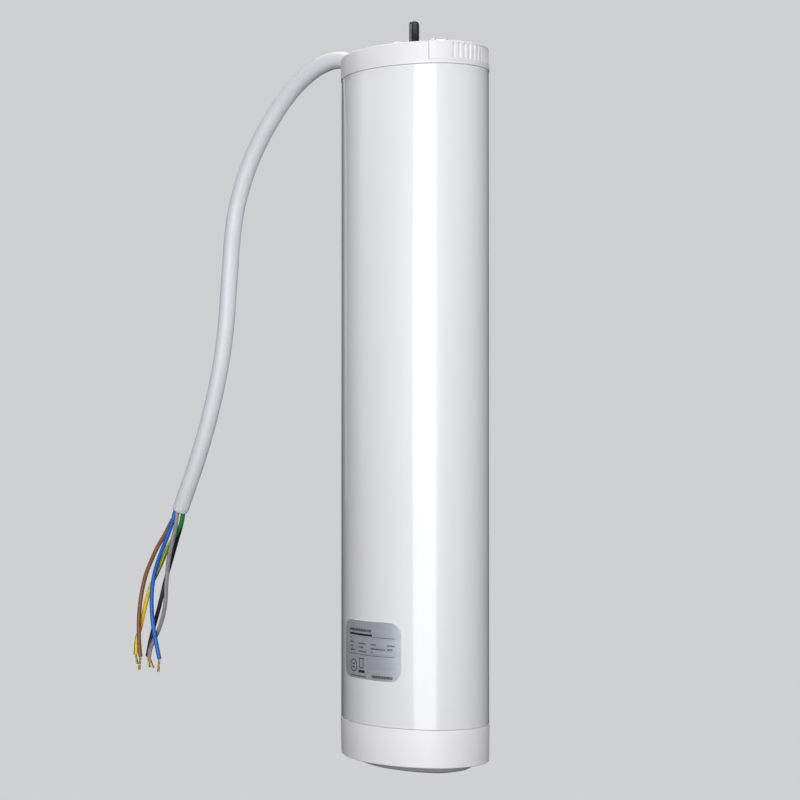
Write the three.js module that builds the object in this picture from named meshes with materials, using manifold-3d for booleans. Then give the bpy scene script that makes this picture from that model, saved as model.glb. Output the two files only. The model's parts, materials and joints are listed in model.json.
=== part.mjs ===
// Upright drive motor for a curtain or shutter track: an oval tube that hangs by its head.
// Millimetres. +Z is up, +X points to the ribbed grip, -Y to the side with the label.
// The origin is the centre of the section, in the plane of the crown's rim.
import * as THREE from 'three';
import { mergeVertices } from 'three/addons/utils/BufferGeometryUtils.js';
import Module from 'manifold-3d';

const wasm = await Module();
wasm.setup();

// ---------------------------------------------------------------- driving dimensions

// The oval section is four arcs: two tight ends and two flat sides.
const HALF_LENGTH = 36.5;
const HALF_DEPTH = 26.5;
const END_RADIUS = 21;
const WALL = 2;
const GAP = 0.3; // between pieces that touch
const ARC_STEPS = 10; // sides to each of the section's arcs; even, so that each arc's middle is a corner

// Heights along the tube, down from the rim.
const BODY_HEIGHT = 291.5;
const CROWN_HEIGHT = 9;
const FOOT_HEIGHT = 15.3;
const CROWN_PROUD = 0.3;
const FOOT_PROUD = 0.2;
const FOOT_DRAFT = 0.25; // how much narrower the foot cap is at its lower rim, each side
const DECK_TOP = -7.5;
const DECK_THICK = 3;
const DOME_HEIGHT = 4;

// The drive axis is the centre of the +X end's arc.
const DRIVE_X = HALF_LENGTH - END_RADIUS;

// The flat sides' radius follows from the arcs meeting smoothly.
const SIDE_RADIUS = (DRIVE_X ** 2 + HALF_DEPTH ** 2 - END_RADIUS ** 2) / (2 * (HALF_DEPTH - END_RADIUS));
const SIDE_CENTRE = SIDE_RADIUS - HALF_DEPTH;

// Lock ring and its grip.
const RING_BORE = 12.1;
const RING_RADIUS = 17.6;
const RING_TOP = -1.5;
const LIP_TOP = -3.4;
const GRIP_RADIUS = 20.9;
const GRIP_HALF_ANGLE = 48.3;
const GRIP_TOP = 0.3;
const RIB_PITCH = 6.62; // degrees
const FIRST_RIB = -20.9;
const RIB_COUNT = 10;
const RIB_DEPTH = 0.6;
const RIB_LOW = -6.5;
const RIB_HIGH = -0.6;
const UNLOCK_ANGLE = 35;

// Steel tongue on the lock ring.
const TONGUE_WIDTH = 4.4;
const TONGUE_THICK = 1.4;
const TONGUE_TOP = 14.3;

// Two-stage planetary gearbox.
const MODULE = 0.65;
const SUN_TEETH = 12;
const PLANET_TEETH = 15;
const RING_TEETH = 42;
const BACKLASH = 0.16;
const PLANETS = 3;
const ORBIT = MODULE * (SUN_TEETH + PLANET_TEETH) / 2;
const CASE_RADIUS = 17.4;

// Cable.
const CABLE_RADIUS = 3.75;
const CORE_RADIUS = 1.0;
const STRAND_RADIUS = 0.55;
const CABLE_HEADING = 190; // degrees, the vertical plane that the cable hangs in

// ---------------------------------------------------------------- materials

function finish(color, roughness, metalness = 0) {
  return new THREE.MeshStandardMaterial({ color, roughness, metalness });
}

const whitePaint = finish(0xe9eaec, 0.12);
const whitePlastic = finish(0xe4e3e8, 0.45);
const steel = finish(0xb9bcc0, 0.22, 1);
const zincSteel = finish(0xa5a7a9, 0.35, 1);
const bronze = finish(0xa9824f, 0.4, 1);
const copper = finish(0xd79a4e, 0.35, 1);
const silverLabel = finish(0xa3abb5, 0.4, 0.5);
const cablePvc = finish(0xd7d7e1, 0.55);
const rubber = finish(0x1d1d1f, 0.85);
const gearSteel = finish(0x8d8f92, 0.3, 1);
const gearNylon = finish(0xdcd8c8, 0.5);
const castZinc = finish(0x9a9c9f, 0.5, 1);
const ferrite = finish(0x2b2b2d, 0.7);
const laminations = finish(0x6d6a66, 0.5, 1);
const carbon = finish(0x222222, 0.6);
const greyPlastic = finish(0x55585c, 0.6);
const blackPlastic = finish(0x18191b, 0.5);
const boardGreen = finish(0x1f5a34, 0.5);
const relayBlue = finish(0x2a5da8, 0.45);
const clearLens = finish(0xdfe8ee, 0.1);

// ---------------------------------------------------------------- geometry helpers

const rad = THREE.MathUtils.degToRad;

function welded(geometry) {
  const bare = geometry.clone();
  bare.deleteAttribute('normal');
  bare.deleteAttribute('uv');
  return mergeVertices(bare, 1e-4);
}

function solid(geometry) {
  const closed = welded(geometry);
  return new wasm.Manifold(new wasm.Mesh({
    numProp: 3,
    vertProperties: new Float32Array(closed.attributes.position.array),
    triVerts: new Uint32Array(closed.index.array),
  }));
}

function geometryOf(manifold) {
  const mesh = manifold.getMesh();
  const geometry = new THREE.BufferGeometry();
  geometry.setAttribute('position', new THREE.BufferAttribute(mesh.vertProperties, 3));
  geometry.setIndex(new THREE.BufferAttribute(mesh.triVerts, 1));
  geometry.computeVertexNormals();
  return geometry;
}

// Joins the first list of shapes and cuts away the second.
function carve(shapes, cuts = []) {
  let result = solid(shapes[0]);
  for (const shape of shapes.slice(1)) result = result.add(solid(shape));
  for (const cut of cuts) result = result.subtract(solid(cut));
  return geometryOf(result);
}

function cylinder(radius, low, high, sides = 24, topRadius = radius) {
  const geometry = new THREE.CylinderGeometry(topRadius, radius, high - low, sides);
  return geometry.rotateX(Math.PI / 2).translate(0, 0, (low + high) / 2);
}

function box(x0, x1, y0, y1, z0, z1) {
  const geometry = new THREE.BoxGeometry(x1 - x0, y1 - y0, z1 - z0);
  return geometry.translate((x0 + x1) / 2, (y0 + y1) / 2, (z0 + z1) / 2);
}

// A closed [radius, z] profile turned about the Z axis.
function turned(profile, sides = 28) {
  const points = profile.map(([r, z]) => new THREE.Vector2(r, z));
  if (THREE.ShapeUtils.isClockWise(points)) points.reverse();
  points.push(points[0]);
  return new THREE.LatheGeometry(points, sides).rotateX(Math.PI / 2);
}

function washer(inner, outer, low, high, sides = 24) {
  const shape = circleShape(outer, sides);
  shape.holes.push(circleShape(inner, sides));
  return prism(shape, low, high);
}

function circlePoints(radius, sides) {
  return Array.from({ length: sides }, (_, i) => polar(radius, 360 * i / sides));
}

function polar(radius, degrees) {
  return new THREE.Vector2(radius * Math.cos(rad(degrees)), radius * Math.sin(rad(degrees)));
}

function circleShape(radius, sides = 36) {
  return new THREE.Shape(circlePoints(radius, sides));
}

// A flat outline raised from z = low to z = high.
function prism(shape, low, high) {
  const geometry = new THREE.ExtrudeGeometry(shape, { depth: high - low, bevelEnabled: false });
  return geometry.translate(0, 0, low);
}

// The oval at a given offset outside its nominal outline. Every offset has the same point count.
function ovalPoints(offset) {
  const endSpread = THREE.MathUtils.radToDeg(Math.atan2(SIDE_CENTRE, DRIVE_X));
  const arcs = [
    [DRIVE_X, 0, END_RADIUS, -endSpread, endSpread],
    [0, -SIDE_CENTRE, SIDE_RADIUS, endSpread, 180 - endSpread],
    [-DRIVE_X, 0, END_RADIUS, 180 - endSpread, 180 + endSpread],
    [0, SIDE_CENTRE, SIDE_RADIUS, 180 + endSpread, 360 - endSpread],
  ];
  const points = [];
  for (const [x, y, radius, from, to] of arcs) {
    for (let i = 0; i < ARC_STEPS; i += 1) {
      const point = polar(radius + offset, from + (to - from) * i / ARC_STEPS);
      points.push(new THREE.Vector2(point.x + x, point.y + y));
    }
  }
  return points;
}

// Rings of [offset, z] joined by side faces: closed on itself as a wall, or capped as a block.
function ovalSweep(profile, isWall) {
  const rings = profile.map(([offset, z]) => ovalPoints(offset).map((p) => [p.x, p.y, z]));
  const count = rings[0].length;
  const positions = rings.flat(2);
  const index = [];
  const joins = isWall ? rings.length : rings.length - 1;
  for (let ring = 0; ring < joins; ring += 1) {
    const next = (ring + 1) % rings.length;
    for (let i = 0; i < count; i += 1) {
      const j = (i + 1) % count;
      const [a, b] = [ring * count + i, ring * count + j];
      const [c, d] = [next * count + j, next * count + i];
      index.push(a, b, c, a, c, d);
    }
  }
  if (!isWall) {
    const bottom = positions.length / 3;
    positions.push(0, 0, profile[0][1], 0, 0, profile[profile.length - 1][1]);
    const last = (rings.length - 1) * count;
    for (let i = 0; i < count; i += 1) {
      const j = (i + 1) % count;
      index.push(bottom, j, i, bottom + 1, last + i, last + j);
    }
  }
  const geometry = new THREE.BufferGeometry();
  geometry.setAttribute('position', new THREE.Float32BufferAttribute(positions, 3));
  geometry.setIndex(index);
  geometry.computeVertexNormals();
  return geometry;
}

// Levels run from the bottom up.
function ovalBlock(levels) {
  return ovalSweep(levels, false);
}

function ovalWall(outer, inner, low, high) {
  return ovalSweep([[outer, low], [outer, high], [inner, high], [inner, low]], true);
}

// A round tube or cord along a smooth curve through the points.
function cordSolid(points, radius, sides, steps) {
  const curve = new THREE.CatmullRomCurve3(points, false, 'centripetal');
  return new THREE.ExtrudeGeometry(circleShape(radius, sides), { steps, extrudePath: curve });
}

const motor = new THREE.Group();
const drive = new THREE.Group(); // everything that is centred on the drive axis
drive.position.set(DRIVE_X, 0, 0);
motor.add(drive);

function part(name, geometry, material, parent = motor) {
  const mesh = new THREE.Mesh(geometry, material);
  mesh.name = name;
  parent.add(mesh);
  return mesh;
}

// ---------------------------------------------------------------- cable plane

// Points of the cable are [reach, z, aside]: reach runs outwards from CABLE_START along the
// heading, and aside runs square to it, towards the label side.
const CABLE_START = new THREE.Vector2(-30, -1);
const HEADING = polar(1, CABLE_HEADING);
const ASIDE = new THREE.Vector2(-HEADING.y, HEADING.x);

function cablePoint([reach, z, aside = 0]) {
  const flat = CABLE_START.clone().addScaledVector(HEADING, reach).addScaledVector(ASIDE, aside);
  return new THREE.Vector3(flat.x, flat.y, z);
}

// The strain relief's nose rises from the deck to the crown's rim.
const NOSE_ROOT = [-16, -3.8];
const NOSE_TIP = [5.3, 1.5];
const NOTCH_END = [12, 3.2]; // the notch for the nose runs on through the crown's wall
const NOSE_ROOT_RADIUS = 5.2;
const NOSE_TIP_RADIUS = 4.3;

// A cylinder or cone between two cable points.
function coneBetween(from, to, fromRadius, toRadius, sides) {
  const [start, end] = [cablePoint(from), cablePoint(to)];
  const way = end.clone().sub(start);
  const geometry = new THREE.CylinderGeometry(toRadius, fromRadius, way.length(), sides);
  geometry.applyQuaternion(new THREE.Quaternion().setFromUnitVectors(
    new THREE.Vector3(0, 1, 0), way.clone().normalize()));
  const middle = start.clone().add(end).multiplyScalar(0.5);
  return geometry.translate(middle.x, middle.y, middle.z);
}

// ---------------------------------------------------------------- head

const PEG = { x: -4.2, y: 5.5, radius: 2.3, top: 5.6, chamfer: 0.9 };
const BOSS_RADIUS = 11.8;
const BOSS_TOP = -3.2;
const SPINDLE_BORE = 6.5;
const KEEPER = { inner: 6.9, outer: 13.5, low: -2.9, high: -1.7 };
const SCREW_RADIUS = 1.3;
const SCREW_HOLE = 1.6;
const KEEPER_SCREW_CIRCLE = 9.6;
const KEEPER_SCREW_ANGLES = [60, 180, 300];
const HEAD_SCREWS = [[-14, 13], [-14, -13]];
const RELIEF_FOOT = cablePoint([-16, -12]);
const RELIEF_FOOT_RADIUS = 4.5;

// A sector of a ring about the drive axis, raised from low to high.
function sector(inner, outer, from, to, low, high) {
  const steps = Math.ceil((to - from) / 6);
  const angles = Array.from({ length: steps + 1 }, (_, i) => from + (to - from) * i / steps);
  const points = [
    ...angles.map((angle) => polar(outer, angle)),
    ...angles.reverse().map((angle) => polar(inner, angle)),
  ];
  return prism(new THREE.Shape(points), low, high);
}

function headCap() {
  const deckBottom = DECK_TOP - DECK_THICK;
  const skirtBottom = -14;
  const peg = (side) => [
    cylinder(PEG.radius, DECK_TOP - 1, PEG.top - PEG.chamfer, 20).translate(PEG.x, side * PEG.y, 0),
    cylinder(PEG.radius, PEG.top - PEG.chamfer, PEG.top, 20, PEG.radius - PEG.chamfer)
      .translate(PEG.x, side * PEG.y, 0),
  ];
  const body = carve([
    ovalBlock([
      [-WALL - GAP, deckBottom], [-WALL - GAP, -CROWN_HEIGHT], [CROWN_PROUD, -CROWN_HEIGHT],
      [CROWN_PROUD, -0.4], [CROWN_PROUD - 0.4, 0],
    ]),
    ovalWall(-WALL - GAP, -2 * WALL, skirtBottom, deckBottom + 0.5),
  ], [ovalBlock([[-WALL, DECK_TOP], [-WALL, 1]])]);
  const window = sector(RING_RADIUS + GAP, GRIP_RADIUS + 6, -GRIP_HALF_ANGLE - 0.9,
    GRIP_HALF_ANGLE + UNLOCK_ANGLE + 1.8, DECK_TOP, 1).translate(DRIVE_X, 0, 0);
  const keeperHoles = KEEPER_SCREW_ANGLES.map((angle) => {
    const at = polar(KEEPER_SCREW_CIRCLE, angle);
    return cylinder(SCREW_HOLE, -30, 5, 12).translate(DRIVE_X + at.x, at.y, 0);
  });
  const headHoles = HEAD_SCREWS.map(([x, y]) => cylinder(SCREW_HOLE, -30, 5, 12).translate(x, y, 0));
  const noseNotch = coneBetween(NOSE_ROOT, NOTCH_END, NOSE_ROOT_RADIUS + GAP, NOSE_TIP_RADIUS + GAP, 24);
  const footHole = cylinder(RELIEF_FOOT_RADIUS + GAP, -30, 5, 24)
    .translate(RELIEF_FOOT.x, RELIEF_FOOT.y, 0);
  const boss = cylinder(BOSS_RADIUS, DECK_TOP - 1, BOSS_TOP, 28).translate(DRIVE_X, 0, 0);
  const bore = cylinder(SPINDLE_BORE, -30, 5, 24).translate(DRIVE_X, 0, 0);
  return carve([body, boss, ...peg(1), ...peg(-1)],
    [window, bore, noseNotch, footHole, ...keeperHoles, ...headHoles]);
}

part('head_cap', headCap(), whitePlastic);

// The ring turns about the drive axis. Its grip stands in the crown's window.
function lockRing() {
  const body = turned([
    [RING_BORE, DECK_TOP + GAP], [RING_RADIUS, DECK_TOP + GAP], [RING_RADIUS, RING_TOP],
    [13.9, RING_TOP], [13.9, LIP_TOP], [RING_BORE, LIP_TOP],
  ], 40);
  const grip = sector(RING_RADIUS - 0.6, GRIP_RADIUS, -GRIP_HALF_ANGLE, GRIP_HALF_ANGLE,
    DECK_TOP + GAP, GRIP_TOP);
  const ribs = Array.from({ length: RIB_COUNT }, (_, i) => {
    const middle = FIRST_RIB + i * RIB_PITCH;
    return prism(new THREE.Shape([
      polar(GRIP_RADIUS - RIB_DEPTH, middle - 0.55), polar(GRIP_RADIUS + RIB_DEPTH, middle - 3.15),
      polar(GRIP_RADIUS + RIB_DEPTH, middle + 3.15), polar(GRIP_RADIUS - RIB_DEPTH, middle + 0.55),
    ]), RIB_LOW, RIB_HIGH);
  });
  const slot = box(-DRIVE_X - TONGUE_THICK / 2 - 0.15, -DRIVE_X + TONGUE_THICK / 2 + 0.15,
    -TONGUE_WIDTH / 2 - 0.15, TONGUE_WIDTH / 2 + 0.15, -6.3, 1);
  return carve([body, grip], [slot, ...ribs]);
}

part('lock_ring', lockRing(), whitePlastic, drive);

// The tongue stands in the ring on the section's centre, with rounded top corners.
function lockTongue() {
  const [half, corner, low] = [TONGUE_WIDTH / 2, 1.5, -6];
  const shape = new THREE.Shape();
  shape.moveTo(-half, low);
  shape.lineTo(half, low);
  shape.lineTo(half, TONGUE_TOP - corner);
  shape.absarc(half - corner, TONGUE_TOP - corner, corner, 0, Math.PI / 2);
  shape.lineTo(-half + corner, TONGUE_TOP);
  shape.absarc(-half + corner, TONGUE_TOP - corner, corner, Math.PI / 2, Math.PI);
  const geometry = new THREE.ExtrudeGeometry(shape,
    { depth: TONGUE_THICK, bevelEnabled: false, curveSegments: 6 });
  return geometry.translate(0, 0, -TONGUE_THICK / 2).rotateX(Math.PI / 2).rotateZ(Math.PI / 2);
}

part('lock_tongue', lockTongue(), steel);

part('ring_keeper', carve([washer(KEEPER.inner, KEEPER.outer, KEEPER.low, KEEPER.high)],
  KEEPER_SCREW_ANGLES.map((angle) => {
    const at = polar(KEEPER_SCREW_CIRCLE, angle);
    return cylinder(SCREW_HOLE, -5, 5, 12).translate(at.x, at.y, 0);
  })), zincSteel, drive);

// A pan-head screw with a cross recess, head up, its seat at z = 0.
function screw(headRadius, headHeight, length) {
  const head = cylinder(headRadius, 0, headHeight, 12, headRadius * 0.72);
  const shank = cylinder(SCREW_RADIUS, -length, 0.2, 8);
  const [slotFloor, above] = [headHeight - 0.7, headHeight + 1];
  const slots = [
    box(-1.4, 1.4, -0.3, 0.3, slotFloor, above), box(-0.3, 0.3, -1.4, 1.4, slotFloor, above),
  ];
  return carve([head, shank], slots);
}

KEEPER_SCREW_ANGLES.forEach((angle, i) => {
  const at = polar(KEEPER_SCREW_CIRCLE, angle);
  const mesh = part(`keeper_screw_${i + 1}`, screw(2.4, 1.6, 15), zincSteel, drive);
  mesh.position.set(at.x, at.y, KEEPER.high + GAP);
});

HEAD_SCREWS.forEach(([x, y], i) => {
  const mesh = part(`head_screw_${i + 1}`, screw(2.8, 1.9, 16), zincSteel);
  mesh.position.set(x, y, DECK_TOP + GAP);
});

// ---------------------------------------------------------------- strain relief and cable

const CLAMP = { back: -20, front: -11, width: 11, height: 8.4 };
const RELIEF_FOOT_LOW = -12;

function strainRelief() {
  const [back, front] = [cablePoint([CLAMP.back, 0]), cablePoint([CLAMP.front, 0])];
  const block = new THREE.BoxGeometry(back.distanceTo(front), CLAMP.width, CLAMP.height)
    .rotateZ(rad(CABLE_HEADING))
    .translate((back.x + front.x) / 2, (back.y + front.y) / 2, DECK_TOP + GAP + CLAMP.height / 2);
  const foot = cylinder(RELIEF_FOOT_RADIUS, RELIEF_FOOT_LOW, DECK_TOP + 2, 24)
    .translate(RELIEF_FOOT.x, RELIEF_FOOT.y, 0);
  const nose = coneBetween(NOSE_ROOT, NOSE_TIP, NOSE_ROOT_RADIUS, NOSE_TIP_RADIUS, 24);
  const underDeck = prism(circleShape(60, 24), -40, DECK_TOP + GAP);
  const noseOnly = geometryOf(solid(nose).subtract(solid(underDeck)));
  return carve([block, foot, noseOnly]);
}

part('strain_relief', strainRelief(), whitePlastic);

const CABLE_ROUTE = [
  [5.6, 1.6], [11.7, 3.3], [17.7, 4.6], [23.6, 4.4], [30.5, 2.8], [37.5, -0.2], [44.4, -4.2],
  [52.3, -10.4], [60.2, -18.4], [67.1, -26.8], [73.1, -35.8], [78, -45.5], [82, -56.5],
  [84.4, -68.4], [85.8, -81.4], [87.1, -94.4], [88.5, -107.4], [90.7, -120.3], [93.9, -133.3],
  [97.9, -145.8], [102.6, -158.3], [108.1, -170.8], [114, -182.8], [119.6, -193.8],
];

part('mains_cable', cordSolid(CABLE_ROUTE.map(cablePoint), CABLE_RADIUS, 12, 18), cablePvc);

// Each core leaves the sheath's cut end and hangs to its own stripped tip.
const CORES = {
  blue: {
    color: 0x2f6fd0,
    route: [
      [121.6, -193.1, 0.9], [123.8, -199.8, 1.3], [127, -206.8, 1.6], [130.6, -213.3, 1.7],
      [133.7, -219.3, 1.7], [136.3, -226.3, 1.7], [137.6, -234.3, 1.7], [137.4, -242.3, 1.7],
      [136.2, -250.3, 1.7], [134.3, -257.3, 1.6], [132.2, -264, 1.6],
    ],
    tip: [133, -270.3, 1.6],
  },
  brown: {
    color: 0x8a5a44,
    route: [
      [121.1, -193.3, -1.4], [127, -198.9, -1.6], [131.7, -205.7, -1.2], [136.3, -211.9, -0.6],
      [139.6, -217.8, 0], [142.7, -224.3, 0.6], [144.8, -231.1, 1], [146.4, -239.3, 1.3],
      [147.3, -248.8, 1.3], [147, -259.3, 1.1], [146.4, -264.1, 1],
    ],
    tip: [147.3, -270.5, 1],
  },
  grey: {
    color: 0x9b979c,
    route: [
      [119.7, -194.1, 1.6], [120.7, -200.8, 1.8], [123, -207.3, 1.4], [126.2, -215.1, 0.8],
      [128.3, -222.3, 0.1], [129.8, -230.3, -0.4], [130.7, -237.3, -0.8], [132.6, -243.9, -1],
      [135.7, -250.8, -1], [139.2, -256.3, -0.9], [141.4, -260.8, -0.7], [142, -263.9, -0.6],
    ],
    tip: [138.6, -269.1, -0.6],
  },
  earth: {
    color: 0x3f9a4a,
    route: [
      [118, -194.9, -0.3], [120.1, -199.9, -1], [123, -204.1, -1.3], [126.6, -207.9, -1.3],
      [129.9, -212.3, -1.3], [133.7, -218.5, -1.3], [137.5, -224.3, -1.3], [141.3, -229.9, -1.3],
      [144.1, -235.8, -1.3], [146.7, -243.3, -1.3], [149.2, -250.9, -1.3], [151.6, -256.3, -1.3],
      [152.6, -263.7, -1.3],
    ],
    tip: [151.1, -268.1, -1.3],
  },
  black: {
    color: 0x1b191c,
    route: [
      [119.3, -194.3, -1.9], [122, -199.9, -3.1], [125, -205.9, -3.7], [128, -212.3, -4],
      [130.9, -219.3, -4], [134, -227.3, -3.8], [136.5, -235.3, -3.6], [139.2, -243.3, -3.4],
      [141.8, -250.3, -3.2], [143.7, -256.3, -3], [145.7, -264.1, -2.8],
    ],
    tip: [144, -269.4, -2.8],
  },
};

for (const [name, { color, route, tip }] of Object.entries(CORES)) {
  const points = route.map(cablePoint);
  part(`core_${name}`, cordSolid(points, CORE_RADIUS, 8, 13), finish(color, 0.5));
  const end = points[points.length - 1];
  const way = cablePoint(tip).sub(end).normalize();
  const start = end.clone().addScaledVector(way, 2 * GAP);
  part(`strands_${name}`, cordSolid([start, cablePoint(tip)], STRAND_RADIUS, 8, 1), copper);
}

// ---------------------------------------------------------------- tube, label and foot

const TUBE_TOP = -CROWN_HEIGHT - GAP;
const FOOT_TOP = FOOT_HEIGHT - BODY_HEIGHT;
part('tube_housing', ovalWall(0, -WALL, FOOT_TOP + GAP, TUBE_TOP), whitePaint);

// The label is bent round the broad side, with its middle a little towards the grip.
const LABEL = { width: 34.8, height: 23.6, corner: 5, thick: 0.25, lift: 0.15, angle: -90 + 3.4, z: -245.8 };

function ratingLabel() {
  const { corner, thick } = LABEL;
  const [half, top, steps] = [LABEL.width / 2, LABEL.height / 2, 16];
  const radius = SIDE_RADIUS + LABEL.lift;
  const edge = (x) => {
    const over = Math.abs(x) - (half - corner);
    return over > 0 ? top - corner + Math.sqrt(Math.max(corner ** 2 - over ** 2, 0)) : top;
  };
  const columns = [];
  for (let i = 0; i <= steps; i += 1) {
    columns.push(half * Math.sin(Math.PI * (i / steps - 0.5)) * 0.995);
  }
  const positions = [];
  for (const x of columns) {
    for (const r of [radius, radius + thick]) {
      for (const side of [-1, 1]) positions.push(x / radius, r, side * edge(x));
    }
  }
  const middle = rad(LABEL.angle);
  for (let i = 0; i < positions.length; i += 3) {
    const [angle, r] = [positions[i] + middle, positions[i + 1]];
    positions[i] = r * Math.cos(angle);
    positions[i + 1] = SIDE_CENTRE + r * Math.sin(angle);
  }
  const index = [];
  const quad = (a, b, c, d) => index.push(a, b, c, a, c, d);
  for (let i = 0; i < steps; i += 1) {
    const [a, b] = [4 * i, 4 * i + 4];
    quad(a, a + 1, b + 1, b); // inner face
    quad(a + 2, b + 2, b + 3, a + 3); // outer face
    quad(a, b, b + 2, a + 2); // lower edge
    quad(a + 1, a + 3, b + 3, b + 1); // upper edge
  }
  quad(0, 2, 3, 1);
  const last = 4 * steps;
  quad(last, last + 1, last + 3, last + 2);
  const geometry = new THREE.BufferGeometry();
  geometry.setAttribute('position', new THREE.Float32BufferAttribute(positions, 3));
  geometry.setIndex(index);
  geometry.computeVertexNormals();
  return geometry.translate(0, 0, LABEL.z);
}

part('rating_label', ratingLabel(), silverLabel);

const FLOOR_TOP = -BODY_HEIGHT + 3;
const DOME_BOTTOM = -BODY_HEIGHT - DOME_HEIGHT;
const FOOT_SCREWS = [[-14, 10], [-14, -10]];
const SCREW_SEAT = { z: -290.4, radius: 3.2 };
const POST = { radius: 3.6, top: -272.4 };
const BUTTON = { x: 10, radius: 3, flange: 4.2, shoulder: -287, top: -286.6, holeRadius: 3.3 };
const LENS = { x: 21, radius: 1.6, tip: 1.0, top: -286, holeRadius: 1.9 };
const HOLE_LOW = -300; // below everything
const HOLE_HIGH = -260; // above the posts
const FLOOR_HOLE_HIGH = -280; // above the floor, clear of the skirt's top

function footCap() {
  const skirtTop = -267;
  const shell = carve([
    ovalBlock([
      [FOOT_PROUD - FOOT_DRAFT - 0.4, -BODY_HEIGHT], [FOOT_PROUD - FOOT_DRAFT, -BODY_HEIGHT + 0.4],
      [FOOT_PROUD, FOOT_TOP],
    ]),
  ], [ovalBlock([[-2 * WALL, FLOOR_TOP], [-2 * WALL, 0]])]);
  const skirt = ovalWall(-WALL - GAP, -2 * WALL, FOOT_TOP - 2, skirtTop);
  const dome = ovalBlock([
    [-14.5, DOME_BOTTOM], [-11.5, DOME_BOTTOM + 0.3], [-8.5, DOME_BOTTOM + 1.2],
    [-6, DOME_BOTTOM + 2.7], [-4, -BODY_HEIGHT], [-4, FLOOR_TOP - 1],
  ]);
  const posts = FOOT_SCREWS.map(([x, y]) =>
    cylinder(POST.radius, FLOOR_TOP - 1, POST.top, 16).translate(x, y, 0));
  const holes = FOOT_SCREWS.flatMap(([x, y]) => [
    cylinder(SCREW_HOLE, HOLE_LOW, HOLE_HIGH, 12).translate(x, y, 0),
    cylinder(SCREW_SEAT.radius, HOLE_LOW, SCREW_SEAT.z, 16).translate(x, y, 0),
  ]);
  const buttonHole = cylinder(BUTTON.holeRadius, HOLE_LOW, FLOOR_HOLE_HIGH, 20).translate(BUTTON.x, 0, 0);
  const lensHole = cylinder(LENS.holeRadius, HOLE_LOW, FLOOR_HOLE_HIGH, 16).translate(LENS.x, 0, 0);
  return carve([shell, skirt, dome, ...posts], [...holes, buttonHole, lensHole]);
}

part('foot_cap', footCap(), whitePlastic);

FOOT_SCREWS.forEach(([x, y], i) => {
  const mesh = part(`foot_screw_${i + 1}`, screw(2.8, 1.9, 21), zincSteel);
  mesh.rotation.x = Math.PI;
  mesh.position.set(x, y, SCREW_SEAT.z - GAP);
});

// The button is pushed up against the switch on the small board above it.
part('set_button', carve([
  cylinder(BUTTON.radius, DOME_BOTTOM + 0.5, BUTTON.shoulder, 20),
  cylinder(BUTTON.flange, FLOOR_TOP + GAP, BUTTON.top, 20),
]), greyPlastic).position.set(BUTTON.x, 0, 0);

part('status_lens', carve([
  cylinder(LENS.radius, DOME_BOTTOM + 0.6, LENS.top, 16),
  cylinder(LENS.tip, DOME_BOTTOM + 0.2, DOME_BOTTOM + 0.6, 16, LENS.radius),
]), clearLens).position.set(LENS.x, 0, 0);

const SWITCH_TOP = -281;
const BOARD_THICK = 1.6;
part('tact_switch', carve([
  box(-3, 3, -3, 3, SWITCH_TOP - 3, SWITCH_TOP),
  cylinder(1.7, SWITCH_TOP - 4, SWITCH_TOP - 2.5, 12),
]), blackPlastic).position.set(BUTTON.x, 0, 0);

const BUTTON_BOARD_TOP = SWITCH_TOP + GAP + BOARD_THICK;
part('button_board', box(4, 25, -7, 7, SWITCH_TOP + GAP, BUTTON_BOARD_TOP), boardGreen);

// ---------------------------------------------------------------- gearbox

// One gear outline with involute flanks and a tooth on the +X axis.
function gearPoints(teeth, addendum, dedendum, thinning) {
  const pitch = MODULE * teeth / 2;
  const base = pitch * Math.cos(rad(20));
  const involute = (angle) => Math.tan(angle) - angle;
  const halfTooth = Math.PI / (2 * teeth) - thinning / (2 * pitch);
  const flank = (radius) => {
    const pressure = Math.acos(Math.min(base / Math.max(radius, base), 1));
    return halfTooth + involute(rad(20)) - involute(pressure);
  };
  const [root, tip] = [pitch - dedendum * MODULE, pitch + addendum * MODULE];
  const radii = [root, tip];
  const points = [];
  for (let tooth = 0; tooth < teeth; tooth += 1) {
    const middle = 2 * Math.PI * tooth / teeth;
    const rise = radii.map((r) => [r, middle - flank(r)]);
    const fall = [...radii].reverse().map((r) => [r, middle + flank(r)]);
    for (const [r, angle] of [...rise, ...fall]) {
      points.push(new THREE.Vector2(r * Math.cos(angle), r * Math.sin(angle)));
    }
  }
  return points;
}

function gear(teeth, low, high, bore = 0) {
  const shape = new THREE.Shape(gearPoints(teeth, 0.8, 1.1, BACKLASH));
  if (bore) shape.holes.push(circleShape(bore, 14));
  return prism(shape, low, high);
}

// Heights down the drive axis. Each [low, high] pair is one piece or one feature of a piece.
const DAMPER = { inner: 12.5, outer: 16.2, low: -14, high: -10.8 };
const CASE = { top: -14.3, plate: -17.3, bottom: -50 };
const BUSH = { inner: 5.1, outer: 6.9, low: -18.4, high: -13 };
const SPINDLE = {
  lobes: 6, lobeRoot: 4.7, lobeTip: 6, driver: [-1, 3.6], radius: 5, shaft: [-19.4, -0.8],
  groove: [-12.7, -11.1], grooveRadius: 4.1, carrier: [-22.4, -19.2], pins: [-32.8, -22],
};
const CIRCLIP = { inner: 4.4, outer: 7, opening: 50, low: -12.4, high: -11.4 };
const STAGE = {
  sun: [-32.6, -23.2], hub: [-33.6, -32.4], hubRadius: 3, carrier: [-36.5, -33.3], pins: [-47, -36],
};
const OUTPUT_PLANET = [-32.2, -23];
const INPUT_PLANET = [-46.2, -37.1];

part('damping_ring', washer(DAMPER.inner, DAMPER.outer, DAMPER.low, DAMPER.high), rubber, drive);

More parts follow.
